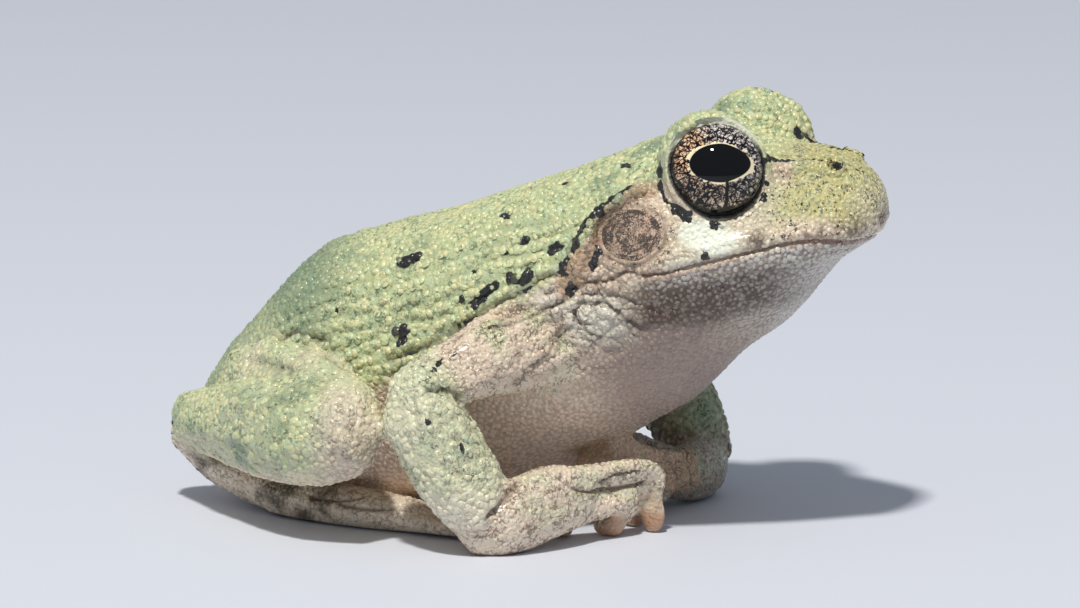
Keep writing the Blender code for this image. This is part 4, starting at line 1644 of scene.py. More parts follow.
@dataclass(frozen=True)
class SkinFinish:
    """The frog's skin: green above, pinkish beige and grey below, with dark marks."""

    green: Colour = (0.62, 0.68, 0.37)
    yellow: Colour = (0.74, 0.72, 0.4)
    mint: Colour = (0.64, 0.73, 0.48)
    gap_shade_green: Colour = (0.33, 0.42, 0.22)
    teal: Colour = (0.2, 0.29, 0.18)
    beige: Colour = (0.84, 0.73, 0.54)
    rose: Colour = (0.84, 0.62, 0.49)
    gap_shade_brown: Colour = (0.22, 0.15, 0.12)
    pale: Colour = (0.91, 0.93, 0.77)
    grey: Colour = (0.58, 0.56, 0.52)
    slate: Colour = (0.075, 0.042, 0.024)
    clay: Colour = (0.33, 0.235, 0.195)
    bottle: Colour = (0.13, 0.22, 0.13)
    olive: Colour = (0.56, 0.52, 0.18)
    tan: Colour = (0.4, 0.27, 0.13)
    rust: Colour = (0.52, 0.3, 0.19)
    lip: Colour = (0.5, 0.32, 0.25)
    brown: Colour = (0.1, 0.055, 0.035)
    orange: Colour = (0.5, 0.29, 0.18)
    black: Colour = (0.012, 0.01, 0.01)
    roughness: float = 0.42
    wetness: float = 0.45
    wet_roughness: float = 0.18
    grain_depth: float = 0.045
    fine_depth: float = 0.05

    def material(self) -> Graph:
        """Makes the skin's material from its attributes and noise.

        Returns:
            The material's graph.
        """
        g = SkinGraph()
        colour = g.mix(g.attribute("green"), self._low(g), self._back(g))
        colour = self._patches(g, colour)
        colour = self._specks(g, colour)
        colour = self._lines(g, colour)
        colour = g.layers(
            colour,
            # painted shade in the creases and grooves, in brown
            (g.part("crease", 0.72), self.brown),
            (g.attribute("orange"), self.orange),
            (g.span(g.attribute("dark"), 0.25, 0.55), self.black),
            # the dark edge of the lids on the eyeball, partly painted shade
            (g.attribute("rim"), self.black),
        )
        grain = g.bump(g.span(g.pebbles(4.2), 0.0, 0.6, 1.0, 0.0), self.grain_depth)
        g.finish({
            "Base Color": colour,
            "Roughness": self.roughness,
            "Coat Weight": self.wetness,
            "Coat Roughness": self.wet_roughness,
            "Subsurface Weight": 0.1,
            "Subsurface Radius": (1.0, 0.5, 0.3),
            "Subsurface Scale": 0.25 * MM,
            "Normal": g.bump(g.fine, self.fine_depth, grain),
        })
        return g

    def _back(self, g: SkinGraph) -> Socket:
        """The green of the back: painted shade in the hollows between the beads, yellow and mint on top of
        them.

        Args:
            g: The skin's nodes.

        Returns:
            The colour.
        """
        warm = g.plus(g.part("tint", 0.35), g.noise(1.5, 3.0, 0.6, 13.0))
        warm = g.plus(warm, g.part("yellowing", 0.2))
        patch = g.span(g.noise(0.55, 2.0, 0.5, 5.0), 0.39, 0.53)
        dots = g.times(g.span(g.noise(2.6, 4.0, 0.75, 29.0), 0.54, 0.6), patch)
        return g.layers(
            self.green,
            (g.span(warm, 0.58, 0.8, 0.0, 0.9), self.yellow),
            (g.span(warm, 0.58, 0.44, 0.0, 0.75), self.mint),
            # painted shade in the hollows between the beads
            (g.times(g.span(g.lift, 0.55, 0.05), g.attribute("gaps")), self.gap_shade_green),
            (g.times(g.attribute("olive"), g.span(g.mid, 0.36, 0.54, 0.4, 1.0)), self.olive),
            (g.times(dots, 0.8), self.bottle),
            (g.part("teal", 0.85), self.teal),
            (g.span(g.cloud, 0.56, 0.72, 0.0, 0.25), self.teal),
        )

    def _low(self, g: SkinGraph) -> Socket:
        """The beige, rosy and grey skin of the sides, the throat and the limbs.

        Args:
            g: The skin's nodes.

        Returns:
            The colour.
        """
        blotch = g.span(g.noise(1.3, 4.0, 0.75, 17.0), 0.4, 0.51, 0.6, 1.0)
        blotch = g.times(g.times(g.attribute("marble"), blotch), g.span(g.lift, 1.0, 0.45, 0.72, 1.0))
        return g.layers(
            self.beige,
            (g.times(g.attribute("rosy"), g.span(g.mid, 0.34, 0.56, 0.35, 1.0)), self.rose),
            (g.attribute("grey"), self.grey),
            (g.part("chest", 0.9), self.clay),
            # painted shade in the hollows between the beads
            (g.times(g.span(g.lift, 0.5, 0.0), g.attribute("gaps")), self.gap_shade_brown),
            (blotch, self.slate),
        )

    def _patches(self, g: SkinGraph, colour: Socket) -> Socket:
        """The pale patch under the eye, the tan fold behind it and the tinted lips.

        Args:
            g: The skin's nodes.
            colour: The colour so far.

        Returns:
            The colour with the patches.
        """
        fold = g.mix(g.span(g.mid, 0.42, 0.58), self.tan, self.rust)
        fold = g.mix(g.span(g.fine, 0.5, 0.6, 0.0, 0.4), fold, self.beige)
        pale, lips = (g.attribute("pale"), self.pale), (g.part("lips", 0.65), self.lip)
        return g.layers(colour, pale, (g.part("tan", 0.85), fold), lips)

    def _specks(self, g: SkinGraph, colour: Socket) -> Socket:
        """Fine dark specks in loose clusters.

        Args:
            g: The skin's nodes.
            colour: The colour so far.

        Returns:
            The colour with specks.
        """
        grains = g.span(g.noise(5.0, 3.0, 0.8, 11.0), 0.535, 0.6)
        cluster = g.span(g.noise(1.4, 2.0, 0.5, 23.0), 0.43, 0.56, 0.12, 1.0)
        dark = g.mix(g.span(g.fine, 0.45, 0.55), self.brown, self.black)
        return g.mix(g.times(g.times(grains, cluster), g.attribute("speck")), colour, dark)

    def _lines(self, g: SkinGraph, colour: Socket) -> Socket:
        """A broken net of thin dark lines, as on the hands and the knees.

        Args:
            g: The skin's nodes.
            colour: The colour so far.

        Returns:
            The colour with the net.
        """
        bent = g.shaken(g.place, 2.0, 3.0, 0.7, 0.0)
        line = g.span(g.pebbles(2.1, "DISTANCE_TO_EDGE", bent), 0.14, 0.05)
        broken = g.span(g.noise(1.2, 4.0, 0.75, 31.0), 0.45, 0.56)
        share = g.times(g.times(line, broken), g.attribute("net"))
        return g.mix(g.times(share, 0.85), colour, self.brown)


class EyeGraph(Graph):
    """The eye's node tree, whose patterns read the flat map of its face."""

    def __init__(self) -> None:
        """Reads the flat map: how far forward, how far up and how far from the middle."""
        super().__init__("frog_eye")
        self.uv = self.add("ShaderNodeUVMap", uv_map="EyeFace").outputs[0]
        split = self.add("ShaderNodeSeparateXYZ", {"Vector": self.uv})
        self.across, self.rise = split.outputs[0], split.outputs[1]
        self.radius = self.vectors("LENGTH", {0: self.uv}).outputs["Value"]
        self.bent = self.shaken(self.uv, 9.0, 2.0, 0.13, 0.5)
        self.under = self.span(self.rise, 0.1, -0.45)

    def cloudy(self, vector: Socket, scale: float, shift: float) -> Socket:
        """Noise on the flat map, at some scale and moved by some shift."""
        return self.noise(scale, 2.5, 0.6, shift, vector)


@dataclass(frozen=True)
class EyeFinish:
    """The glossy eye: a bronze and silver iris netted with black round an oval pupil."""

    copper: Colour = (0.72, 0.38, 0.2)
    peach: Colour = (0.95, 0.68, 0.45)
    cream: Colour = (0.95, 0.83, 0.56)
    silver: Colour = (0.88, 0.8, 0.77)
    lilac: Colour = (0.58, 0.5, 0.48)
    dusk: Colour = (0.5, 0.47, 0.4)
    black: Colour = (0.004, 0.004, 0.005)
    pupil_middle: tuple[float, float] = (0.012, 0.068)
    pupil_half: tuple[float, float] = (0.615, 0.392)
    notch: tuple[float, float] = (0.13, -0.3)

    def material(self) -> Graph:
        """Makes the eye's material, whose patterns read the eye's own flat map.

        Returns:
            The material's graph.
        """
        g = EyeGraph()
        lens = self._lens(g)
        fleck = g.cloudy(g.bent, 13.0, 3.0)
        front = g.span(g.plus(g.across, g.times(g.rise, 0.55)), -0.2, 0.35)
        warm = g.mix(g.span(fleck, 0.42, 0.62), self.copper, self.peach)
        cool = g.mix(g.span(fleck, 0.42, 0.6), self.lilac, self.silver)
        colour = g.mix(front, warm, cool)
        colour = g.mix(g.times(g.under, 0.55), colour, self.dusk)
        colour = g.mix(g.span(fleck, 0.6, 0.68, 0.0, 0.8), colour, self.cream)
        colour = self._net(g, colour)
        colour = self._ring(g, lens, colour)
        # the black margin round the eyeball: partly its own dark edge, partly painted shade of the lids,
        # wider below and narrower at the top
        edge = g.plus(g.radius, g.times(g.span(g.rise, 0.0, -0.9), 0.07))
        edge = g.plus(edge, g.times(g.cloudy(g.uv, 7.0, 5.0), 0.1))
        edge = g.minus(edge, g.span(g.rise, 0.2, 0.8, 0.0, 0.07))
        colour = g.mix(g.span(edge, 0.9, 0.99), colour, self.black)
        g.finish({
            "Base Color": g.mix(g.span(lens, 1.08, 1.01), colour, self.black),
            "Roughness": 0.45,
            "Specular IOR Level": 0.0,
            "Coat Weight": 1.0,
            "Coat Roughness": 0.02,
            "Coat IOR": 1.36,
        })
        return g

    def _lens(self, g: EyeGraph) -> Socket:
        """How far a place is from the middle of the pupil, 1 on its edge.

        Args:
            g: The eye's nodes.

        Returns:
            The distance; the pupil is pointed in front and rounder behind.
        """
        right = g.maths("DIVIDE", g.minus(g.across, self.pupil_middle[0]), self.pupil_half[0])
        over = g.maths("DIVIDE", g.minus(g.rise, self.pupil_middle[1]), self.pupil_half[1])
        power = g.span(right, -0.4, 0.5, 2.1, 1.45)
        wide = g.maths("POWER", g.maths("ABSOLUTE", right), power)
        return g.plus(wide, g.maths("POWER", g.maths("ABSOLUTE", over), 1.95))

    def _net(self, g: EyeGraph, colour: Socket) -> Socket:
        """The black net over the iris, and the wavy streaks below the pupil.

        Args:
            g: The eye's nodes.
            colour: The colour so far.

        Returns:
            The colour under the net.
        """
        small = g.pebbles(12.5, "DISTANCE_TO_EDGE", g.bent)
        coarse = g.pebbles(6.5, "DISTANCE_TO_EDGE", g.bent)
        colour = g.mix(g.span(small, 0.13, 0.05, 0.0, 0.9), colour, self.black)
        colour = g.mix(g.span(coarse, 0.13, 0.05), colour, self.black)
        colour = g.mix(g.span(g.cloudy(g.bent, 6.0, 9.0), 0.41, 0.35), colour, self.black)
        split = g.add("ShaderNodeSeparateXYZ", {"Vector": g.bent})
        angle = g.maths("ARCTAN2", split.outputs[1], split.outputs[0])
        polar = g.add("ShaderNodeCombineXYZ", {"X": angle, "Y": g.times(g.radius, 0.55)}).outputs[0]
        streak = g.span(g.cloudy(polar, 9.0, 2.0), 0.5, 0.43)
        return g.mix(g.times(streak, g.times(g.under, 0.7)), colour, self.black)

    def _ring(self, g: EyeGraph, lens: Socket, colour: Socket) -> Socket:
        """The uneven cream ring round the pupil and the dark notch below it.

        Args:
            g: The eye's nodes.
            lens: How far a place is from the pupil.
            colour: The colour so far.

        Returns:
            The colour with the ring.
        """
        slant = g.maths("ABSOLUTE", g.minus(g.times(g.across, 0.7), g.rise))
        wide = g.times(g.minus(g.cloudy(g.uv, 7.0, 1.0), 0.39), 1.3)
        inner = g.minus(lens, g.plus(wide, g.times(slant, 0.14)))
        colour = g.mix(g.span(inner, 1.08, 0.98), colour, self.cream)
        off = g.maths("ABSOLUTE", g.minus(g.across, self.notch[0]))
        line = g.times(g.span(off, 0.055, 0.02), g.span(g.rise, self.notch[1] + 0.1, self.notch[1]))
        return g.mix(line, colour, self.black)


@dataclass
class Eye:
    """One eyeball, a dome that the lids close round."""

    seat: EyeSeat
    rings: int = 48
    sides: int = 96
    back: float = math.radians(104.0)
    rear_spread: float = 1.05

    def build(self) -> Item:
        """Makes the dome with a flat map of its face.

        Returns:
            The eye.
        """
        shape = bmesh.new()
        flat = shape.loops.layers.uv.new("EyeFace")
        matrix = self.seat.matrix()
        sign = -float(self.seat.side.value)
        radius = self.seat.radius
        front = shape.verts.new(matrix @ Vector((0.0, 0.0, radius)) * MM)
        face_place = {front: (0.0, 0.0)}
        rings = []
        for i in range(1, self.rings + 1):
            polar = self.back * i / self.rings
            spread = 1.0 if polar < math.pi / 2 else self.rear_spread
            ring = []
            for k in range(self.sides):
                turn = 2 * math.pi * k / self.sides
                x, y = math.sin(polar) * math.cos(turn), math.sin(polar) * math.sin(turn)
                point = Vector((x, y, math.cos(polar))) * radius
                ring.append(shape.verts.new(matrix @ point * MM))
                face_place[ring[-1]] = (sign * x * spread, y * spread)
            rings.append(ring)
        back = shape.verts.new(matrix @ Vector((0.0, 0.0, radius * math.cos(self.back))) * MM)
        face_place[back] = (1.2, 1.2)
        webbed(shape, rings, front, back)
        for face in shape.faces:
            for loop in face.loops:
                loop[flat].uv = face_place[loop.vert]
        item = formed("eyeball_" + self.seat.side.name.lower(), shape)
        smooth_shaded(item.data)
        return item


@dataclass(frozen=True)
class EardrumFinish:
    """The thin skin of the eardrum: tan and pink with rings of black specks."""

    tan: Colour = (0.42, 0.29, 0.21)
    pink: Colour = (0.68, 0.45, 0.32)
    cream: Colour = (0.66, 0.58, 0.46)
    black: Colour = (0.02, 0.015, 0.015)

    def material(self) -> Graph:
        """Makes the eardrum's material.

        Returns:
            The material's graph.
        """
        g = Graph("frog_eardrum")
        fine = g.noise(13.0, 3.0, 0.8)
        colour = g.mix(g.span(g.noise(2.2, 2.0, 0.6), 0.42, 0.58), self.tan, self.pink)
        colour = g.mix(g.span(g.noise(5.0, 2.0, 0.6, 4.0), 0.52, 0.64, 0.0, 0.7), colour, self.cream)
        out = g.attribute("outward_share")
        rings = g.span(g.maths("SINE", g.times(out, 34.0)), -0.4, 0.9, 0.0, 0.06)
        cluster = g.plus(g.times(g.noise(1.6, 2.0, 0.5, 2.0), 0.5), g.times(rings, g.span(out, 0.2, 0.5)))
        cluster = g.plus(cluster, g.span(out, 0.55, 0.95, 0.0, 0.05))
        speck = g.span(g.plus(fine, cluster), 0.71, 0.79, 0.0, 0.92)
        colour = g.mix(speck, colour, self.black)
        g.finish({"Base Color": colour, "Roughness": 0.42, "Normal": g.bump(fine, 0.06)})
        return g


@dataclass
class Eardrum:
    """One eardrum, a round dished skin behind the eye, sunk in a low rim."""

    seat: DrumSeat
    reach: float = 1.04
    proud: float = 0.03
    dish: float = 0.1
    tuck: float = 0.25
    depth: float = 0.4
    rings: int = 16
    sides: int = 48

    def build(self) -> Item:
        """Makes the dished disc.

        Returns:
            The eardrum.
        """
        middle, across, above, outward = self.seat.frame()
        shape = bmesh.new()
        kept = shape.verts.layers.float.new("outward_share")
        rings = []
        for i in range(1, self.rings + 1):
            share = i / self.rings
            height = self.proud - self.dish * abs(2.0 * share - 0.9) ** 1.5
            height -= self.tuck * step(np.array([share]), 0.88, 1.0)[0]
            tall = self.seat.radius * self.reach * share
            ring = []
            for k in range(self.sides):
                turn = 2 * math.pi * k / self.sides
                offset = across * math.cos(turn) * tall * self.seat.wide + above * math.sin(turn) * tall
                ring.append(shape.verts.new((middle + offset + outward * height) * MM))
                ring[-1][kept] = share
            rings.append(ring)
        front = shape.verts.new((middle + outward * (self.proud - self.dish * 0.85)) * MM)
        back = shape.verts.new((middle - outward * self.depth) * MM)
        back[kept] = 1.0
        webbed(shape, rings, front, back)
        item = formed("eardrum_skin_" + self.seat.side.name.lower(), shape)
        smooth_shaded(item.data)
        return item


@dataclass
class BeadCoat:
    """The beads of one size that cover part of the skin, set by Geometry Nodes."""

    name: str
    mask: str
    spacing: float
    radius: float
    height: float
    sides: int
    rings: int
    seed: int
    patch: float = 0.003
    crowding: float = 2.5
    smallest: float = 0.6
    largest: float = 1.25
    sunk: float = 0.25

    def build(self, skin: Item, finish: bpy.types.Material) -> Item:
        """Sets the beads on the skin.

        Args:
            skin: The skin, which isn't changed.
            finish: The material of the skin and the beads.

        Returns:
            The beads, as one mesh.
        """
        bead = self._bead()
        item = object_of(self.name, skin.data.copy())
        set_beads = item.modifiers.new("beads", "NODES")
        tree = self._tree(finish)
        set_beads.node_group = tree
        values = {
            "Bead": bead, "Mask": self.mask, "Spacing": self.spacing * MM,
            "Density": self.crowding / (self.spacing * MM) ** 2, "Smallest": self.smallest,
            "Largest": self.largest, "Patch": self.patch, "Seed": self.seed,
        }
        sockets = {s.name: s.identifier for s in tree.interface.items_tree if s.in_out == "INPUT"}
        for key, value in values.items():
            set_beads[sockets[key]] = value
        applied(item)
        bpy.data.objects.remove(bead)
        smooth_shaded(item.data)
        clipped(Surface(item))
        return item

    def _bead(self) -> Item:
        """One low dome at the origin, with its flat place and its height kept on it.

        Returns:
            The dome.
        """
        shape = bmesh.new()
        flat = shape.verts.layers.float_vector.new("bead_place")
        crown = shape.verts.layers.float.new("crown")
        rings = []
        for i in range(self.rings):
            share = 1.0 - i / self.rings
            rise = math.sqrt(1.0 - share * share)
            ring = []
            for k in range(self.sides):
                turn = 2 * math.pi * (k + 0.5 * (i % 2)) / self.sides
                x, y = share * math.cos(turn), share * math.sin(turn)
                z = self.height * (rise - self.sunk)
                point = shape.verts.new(Vector((x * self.radius, y * self.radius, z)) * MM)
                point[flat] = Vector((x, y, 0.0))
                point[crown] = rise
                ring.append(point)
            rings.append(ring)
        top = shape.verts.new(Vector((0.0, 0.0, self.height * (1.0 - self.sunk))) * MM)
        top[crown] = 1.0
        for k in range(self.sides):
            j = (k + 1) % self.sides
            for low, high in zip(rings, rings[1:]):
                shape.faces.new((low[k], low[j], high[j], high[k]))
            shape.faces.new((rings[-1][k], rings[-1][j], top))
        bmesh.ops.triangulate(shape, faces=shape.faces)
        return formed("bead", shape)

    def _tree(self, finish: bpy.types.Material) -> bpy.types.NodeTree:
        """Builds the node tree that scatters, turns, sizes and joins the beads.

        Args:
            finish: The material that it sets.

        Returns:
            The tree.
        """
        tree = bpy.data.node_groups.new(self.name, "GeometryNodeTree")
        inputs = {
            "Geometry": "Geometry", "Bead": "Object", "Mask": "String", "Spacing": "Float",
            "Density": "Float", "Smallest": "Float", "Largest": "Float", "Patch": "Float", "Seed": "Int",
        }
        for name, kind in inputs.items():
            tree.interface.new_socket(name, in_out="INPUT", socket_type="NodeSocket" + kind)
        tree.interface.new_socket("Geometry", in_out="OUTPUT", socket_type="NodeSocketGeometry")
        bench = NodeBench(tree)
        given = bench.add("NodeGroupInput").outputs
        scatter = bench.add("GeometryNodeDistributePointsOnFaces", distribute_method="POISSON", inputs={
            "Mesh": given["Geometry"], "Distance Min": given["Spacing"], "Density Max": given["Density"],
            "Density Factor": self._named(bench, given["Mask"], "FLOAT"), "Seed": given["Seed"],
        })
        size = bench.add("FunctionNodeRandomValue", data_type="FLOAT_VECTOR", inputs={
            "Min": given["Smallest"], "Max": given["Largest"], "Seed": given["Seed"],
        })
        spin = bench.add("FunctionNodeRandomValue", data_type="FLOAT_VECTOR", inputs={
            "Min": (0.0, 0.0, 0.0), "Max": (0.0, 0.0, 2 * math.pi),
        })
        twist = bench.add("FunctionNodeRotateRotation", rotation_space="LOCAL", inputs={
            "Rotation": scatter.outputs["Rotation"], "Rotate By": spin.outputs["Value"],
        })
        draw = bench.add("FunctionNodeRandomValue", data_type="FLOAT")
        tint = bench.add("GeometryNodeStoreNamedAttribute", data_type="FLOAT", domain="POINT", inputs={
            "Geometry": scatter.outputs["Points"], "Name": "tint",
            "Value": next(s for s in draw.outputs if s.enabled),
        })
        dome = bench.add("GeometryNodeObjectInfo", {"Object": given["Bead"]})
        place = bench.add("GeometryNodeInstanceOnPoints", {
            "Points": tint.outputs["Geometry"], "Instance": dome.outputs["Geometry"],
            "Rotation": twist.outputs["Rotation"], "Scale": size.outputs["Value"],
        })
        whole = bench.add("GeometryNodeRealizeInstances", {"Geometry": place.outputs["Instances"]})
        half = bench.add("ShaderNodeMath", {0: given["Patch"], 1: 0.5}, operation="MULTIPLY")
        spread = bench.add("ShaderNodeVectorMath", operation="SCALE", inputs={
            0: self._named(bench, "bead_place", "FLOAT_VECTOR"), "Scale": half.outputs[0],
        })
        patch = bench.add("ShaderNodeVectorMath", {
            0: self._named(bench, "OFBake", "FLOAT_VECTOR"), 1: spread.outputs[0],
        })
        keep = bench.add("GeometryNodeStoreNamedAttribute", data_type="FLOAT2", domain="CORNER", inputs={
            "Geometry": whole.outputs["Geometry"], "Name": "OFBake", "Value": patch.outputs[0],
        })
        paint = bench.add("GeometryNodeSetMaterial", {"Geometry": keep.outputs[0], "Material": finish})
        bench.add("NodeGroupOutput", {"Geometry": paint.outputs["Geometry"]})
        return tree

    @staticmethod
    def _named(bench: NodeBench, name: object, kind: str) -> Socket:
        """What the mesh keeps under a name."""
        found = bench.add("GeometryNodeInputNamedAttribute", {"Name": name}, data_type=kind)
        return found.outputs["Attribute"]


@dataclass
class Studio:
    """The plain pale floor, the soft light and the camera at the photograph's angle."""

    azimuth: float = math.radians(24.0)
    elevation: float = math.radians(10.5)
    distance: float = 450.0
    target: Point = (0.191, 0.0, 11.7)
    width: float = 59.4
    sensor: float = 36.0
    clip_start: float = 0.01
    floor_half: float = 3000.0
    floor_colour: Colour = (0.72, 0.75, 0.84)
    key_place: Point = (78.0, -367.0, 706.0)
    key_aim: Point = (0.0, 0.0, 10.0)
    key_size: float = 55.0
    key_power: float = 5.5
    key_colour: Colour = (1.0, 0.97, 0.91)
    sky_colour: Colour = (0.82, 0.9, 1.0)
    sky_strength: float = 0.31

    def build(self) -> None:
        """Makes the floor, the lights and the camera."""
        self._floor()
        self._lights()
        self._camera()

    def _floor(self) -> None:
        """Lays the floor at the frog's feet."""
        half = self.floor_half * MM
        corners = [(-half, -half, 0), (half, -half, 0), (half, half, 0), (-half, half, 0)]
        mesh = bpy.data.meshes.new("floor")
        mesh.from_pydata(corners, [], [(0, 1, 2, 3)])
        floor = object_of("floor", mesh)
        g = Graph("pale_floor")
        g.finish({"Base Color": self.floor_colour, "Roughness": 0.6})
        g.dress(floor)

    def _lights(self) -> None:
        """Hangs one soft light high over the frog's right side, under a pale sky."""
        light = bpy.data.lights.new("key", "AREA")
        light.size = self.key_size * MM
        light.energy = self.key_power
        light.color = self.key_colour
        place = Vector(self.key_place)
        item = bpy.data.objects.new("key", light)
        item.location = place * MM
        item.rotation_euler = (Vector(self.key_aim) - place).to_track_quat("-Z", "Y").to_euler()
        bpy.context.scene.collection.objects.link(item)
        world = bpy.data.worlds.new("studio")
        world.use_nodes = True
        sky = world.node_tree.nodes["Background"]
        sky.inputs["Color"].default_value = (*self.sky_colour, 1.0)
        sky.inputs["Strength"].default_value = self.sky_strength
        bpy.context.scene.world = world

    def _camera(self) -> None:
        """Sets the camera at the photograph's angle and framing."""
        level = math.cos(self.elevation)
        back = Vector((
            math.sin(self.azimuth) * level,
            -math.cos(self.azimuth) * level,
            math.sin(self.elevation),
        ))
        lens = bpy.data.cameras.new("camera")
        lens.sensor_width = self.sensor
        lens.lens = self.sensor * self.distance / self.width
        lens.clip_start = self.clip_start
        camera = bpy.data.objects.new("camera", lens)
        camera.location = (Vector(self.target) + back * self.distance) * MM
        camera.rotation_euler = back.to_track_quat("Z", "Y").to_euler()
        bpy.context.scene.collection.objects.link(camera)
        bpy.context.scene.camera = camera

SIDE_CREASE = (
    (4.93, -7.6, 15.32), (3.88, -7.63, 14.7), (2.94, -7.76, 14.1), (1.93, -7.89, 13.55),
    (0.91, -7.95, 12.87), (0.05, -8.19, 12.2), (-1.08, -8.32, 11.53), (-2.19, -8.37, 10.95),
    (-3.32, -8.39, 10.37), (-4.54, -8.36, 9.77), (-5.77, -8.3, 9.1),
)


def raised(path: tuple[Point, ...], height: float) -> tuple[Point, ...]:
    """A path moved straight up by some millimetres."""
    return tuple((x, y, z + height) for x, y, z in path)


# Where a fold is given a shade value, its groove is darkened in colour: painted shade in the creases.
FOLDS = (
    Fold(MOUTH, 0.09, -0.22, across=True, tone=0.5),
    Fold(raised(MOUTH, 0.36), 0.26, 0.1, across=True),
    Fold(raised(MOUTH, -0.36), 0.28, 0.07, across=True),
    Fold(((9.21, -5.58, 19.83), (8.64, -5.76, 19.66), (7.89, -6.05, 19.27), (7.38, -6.35, 18.73),
          (6.71, -6.7, 18.14), (6.3, -6.95, 17.4), (5.9, -7.25, 16.4), (5.4, -7.5, 15.2),
          (5.0, -7.65, 14.2)), 0.46, 0.28),
    Fold(((9.3, -5.6, 19.3), (8.5, -5.9, 19.1), (7.6, -6.2, 18.5), (7.0, -6.5, 17.9),
          (6.75, -6.8, 17.1), (6.6, -7.1, 16.2)), 0.22, -0.16, tone=0.5),
    Fold(SIDE_CREASE, 0.15, -0.22, tone=1.0),
    Fold(raised(SIDE_CREASE, 0.55), 0.42, 0.16),
    Fold(raised(SIDE_CREASE, -0.5), 0.38, 0.1),
    Fold(((5.32, -7.68, 13.72), (4.26, -7.81, 13.11), (3.25, -8.59, 12.62), (2.37, -9.52, 12.38),
          (1.2, -10.21, 12.19)), 0.14, -0.18, tone=0.9),
    Fold(((5.46, -7.59, 12.23), (4.89, -7.63, 11.65), (4.37, -8.47, 10.65), (3.75, -9.05, 9.99),
          (2.48, -9.51, 8.71)), 0.12, -0.16, tone=0.9),
    Fold(((5.59, -7.63, 13.07), (6.1, -7.57, 13.43), (6.95, -7.35, 13.45), (7.94, -7.22, 13.01),
          (8.73, -6.88, 12.31), (9.6, -6.45, 11.91)), 0.15, -0.18, tone=0.7),
    Fold(((4.82, -7.74, 13.41), (5.32, -7.67, 13.93), (6.09, -7.57, 14.47), (6.75, -7.45, 14.65),
          (7.48, -7.38, 14.76), (8.0, -7.3, 15.1), (8.58, -7.22, 15.3), (9.36, -7.13, 15.2)),
         0.15, -0.18, tone=0.7),
    Fold(((6.1, -7.59, 13.8), (6.95, -7.4, 13.95), (7.97, -7.29, 13.9), (8.94, -7.1, 13.56),
          (10.64, -6.41, 12.97)), 0.18, -0.12, tone=0.45),
    Fold(((5.71, -7.62, 13.3), (5.58, -7.6, 12.68), (6.14, -7.4, 11.92), (7.12, -6.94, 11.42)),
         0.12, -0.14, tone=0.8),
    Fold(((-13.2, -6.6, 10.2), (-10.8, -7.2, 10.45), (-8.1, -8.75, 10.0), (-6.3, -9.6, 9.3)),
         0.15, -0.2, tone=0.8),
    Fold(((-13.2, -7.1, 9.5), (-10.92, -7.8, 9.6), (-8.35, -9.4, 9.2), (-5.86, -11.6, 8.6),
          (-4.39, -12.77, 7.71)), 0.4, 0.14),
    Fold(((-0.64, -13.55, 9.24), (0.26, -12.56, 9.14), (1.1, -11.8, 8.2), (1.64, -11.33, 6.78)), 0.14,
         -0.28, tone=0.9),
    Fold(((-10.37, -8.11, 1.68), (-8.89, -8.4, 1.58), (-7.33, -8.37, 1.76), (-6.42, -7.99, 1.94)), 0.12,
         -0.16, both=False, tone=1.0),
    Fold(((6.46, -6.36, 3.28), (7.2, -5.34, 3.64), (8.04, -3.87, 3.66)), 0.1,
         -0.26, both=False, tone=1.0),
    Fold(((-14.8, -6.54, 8.76), (-12.1, -8.71, 8.96), (-9.09, -10.69, 8.94)), 0.28, -0.22, tone=0.35),
    Fold(((3.39, -9.98, 4.2), (3.26, -11.51, 3.16), (2.48, -12.8, 2.14)), 0.18,
         -0.26, both=False, tone=0.8),
    Fold(((5.73, -8.47, 3.5), (6.2, -7.18, 3.04), (6.75, -5.53, 2.86), (7.55, -4.1, 2.9),
          (8.13, -2.96, 2.94)), 0.11, -0.26, both=False, tone=1.0),
    Fold(((-8.5, -8.47, 1.57), (-7.67, -8.69, 1.38), (-6.66, -8.77, 1.35), (-5.49, -8.71, 1.4),
          (-4.44, -8.38, 1.57)), 0.13, -0.16, both=False, tone=1.0),
)
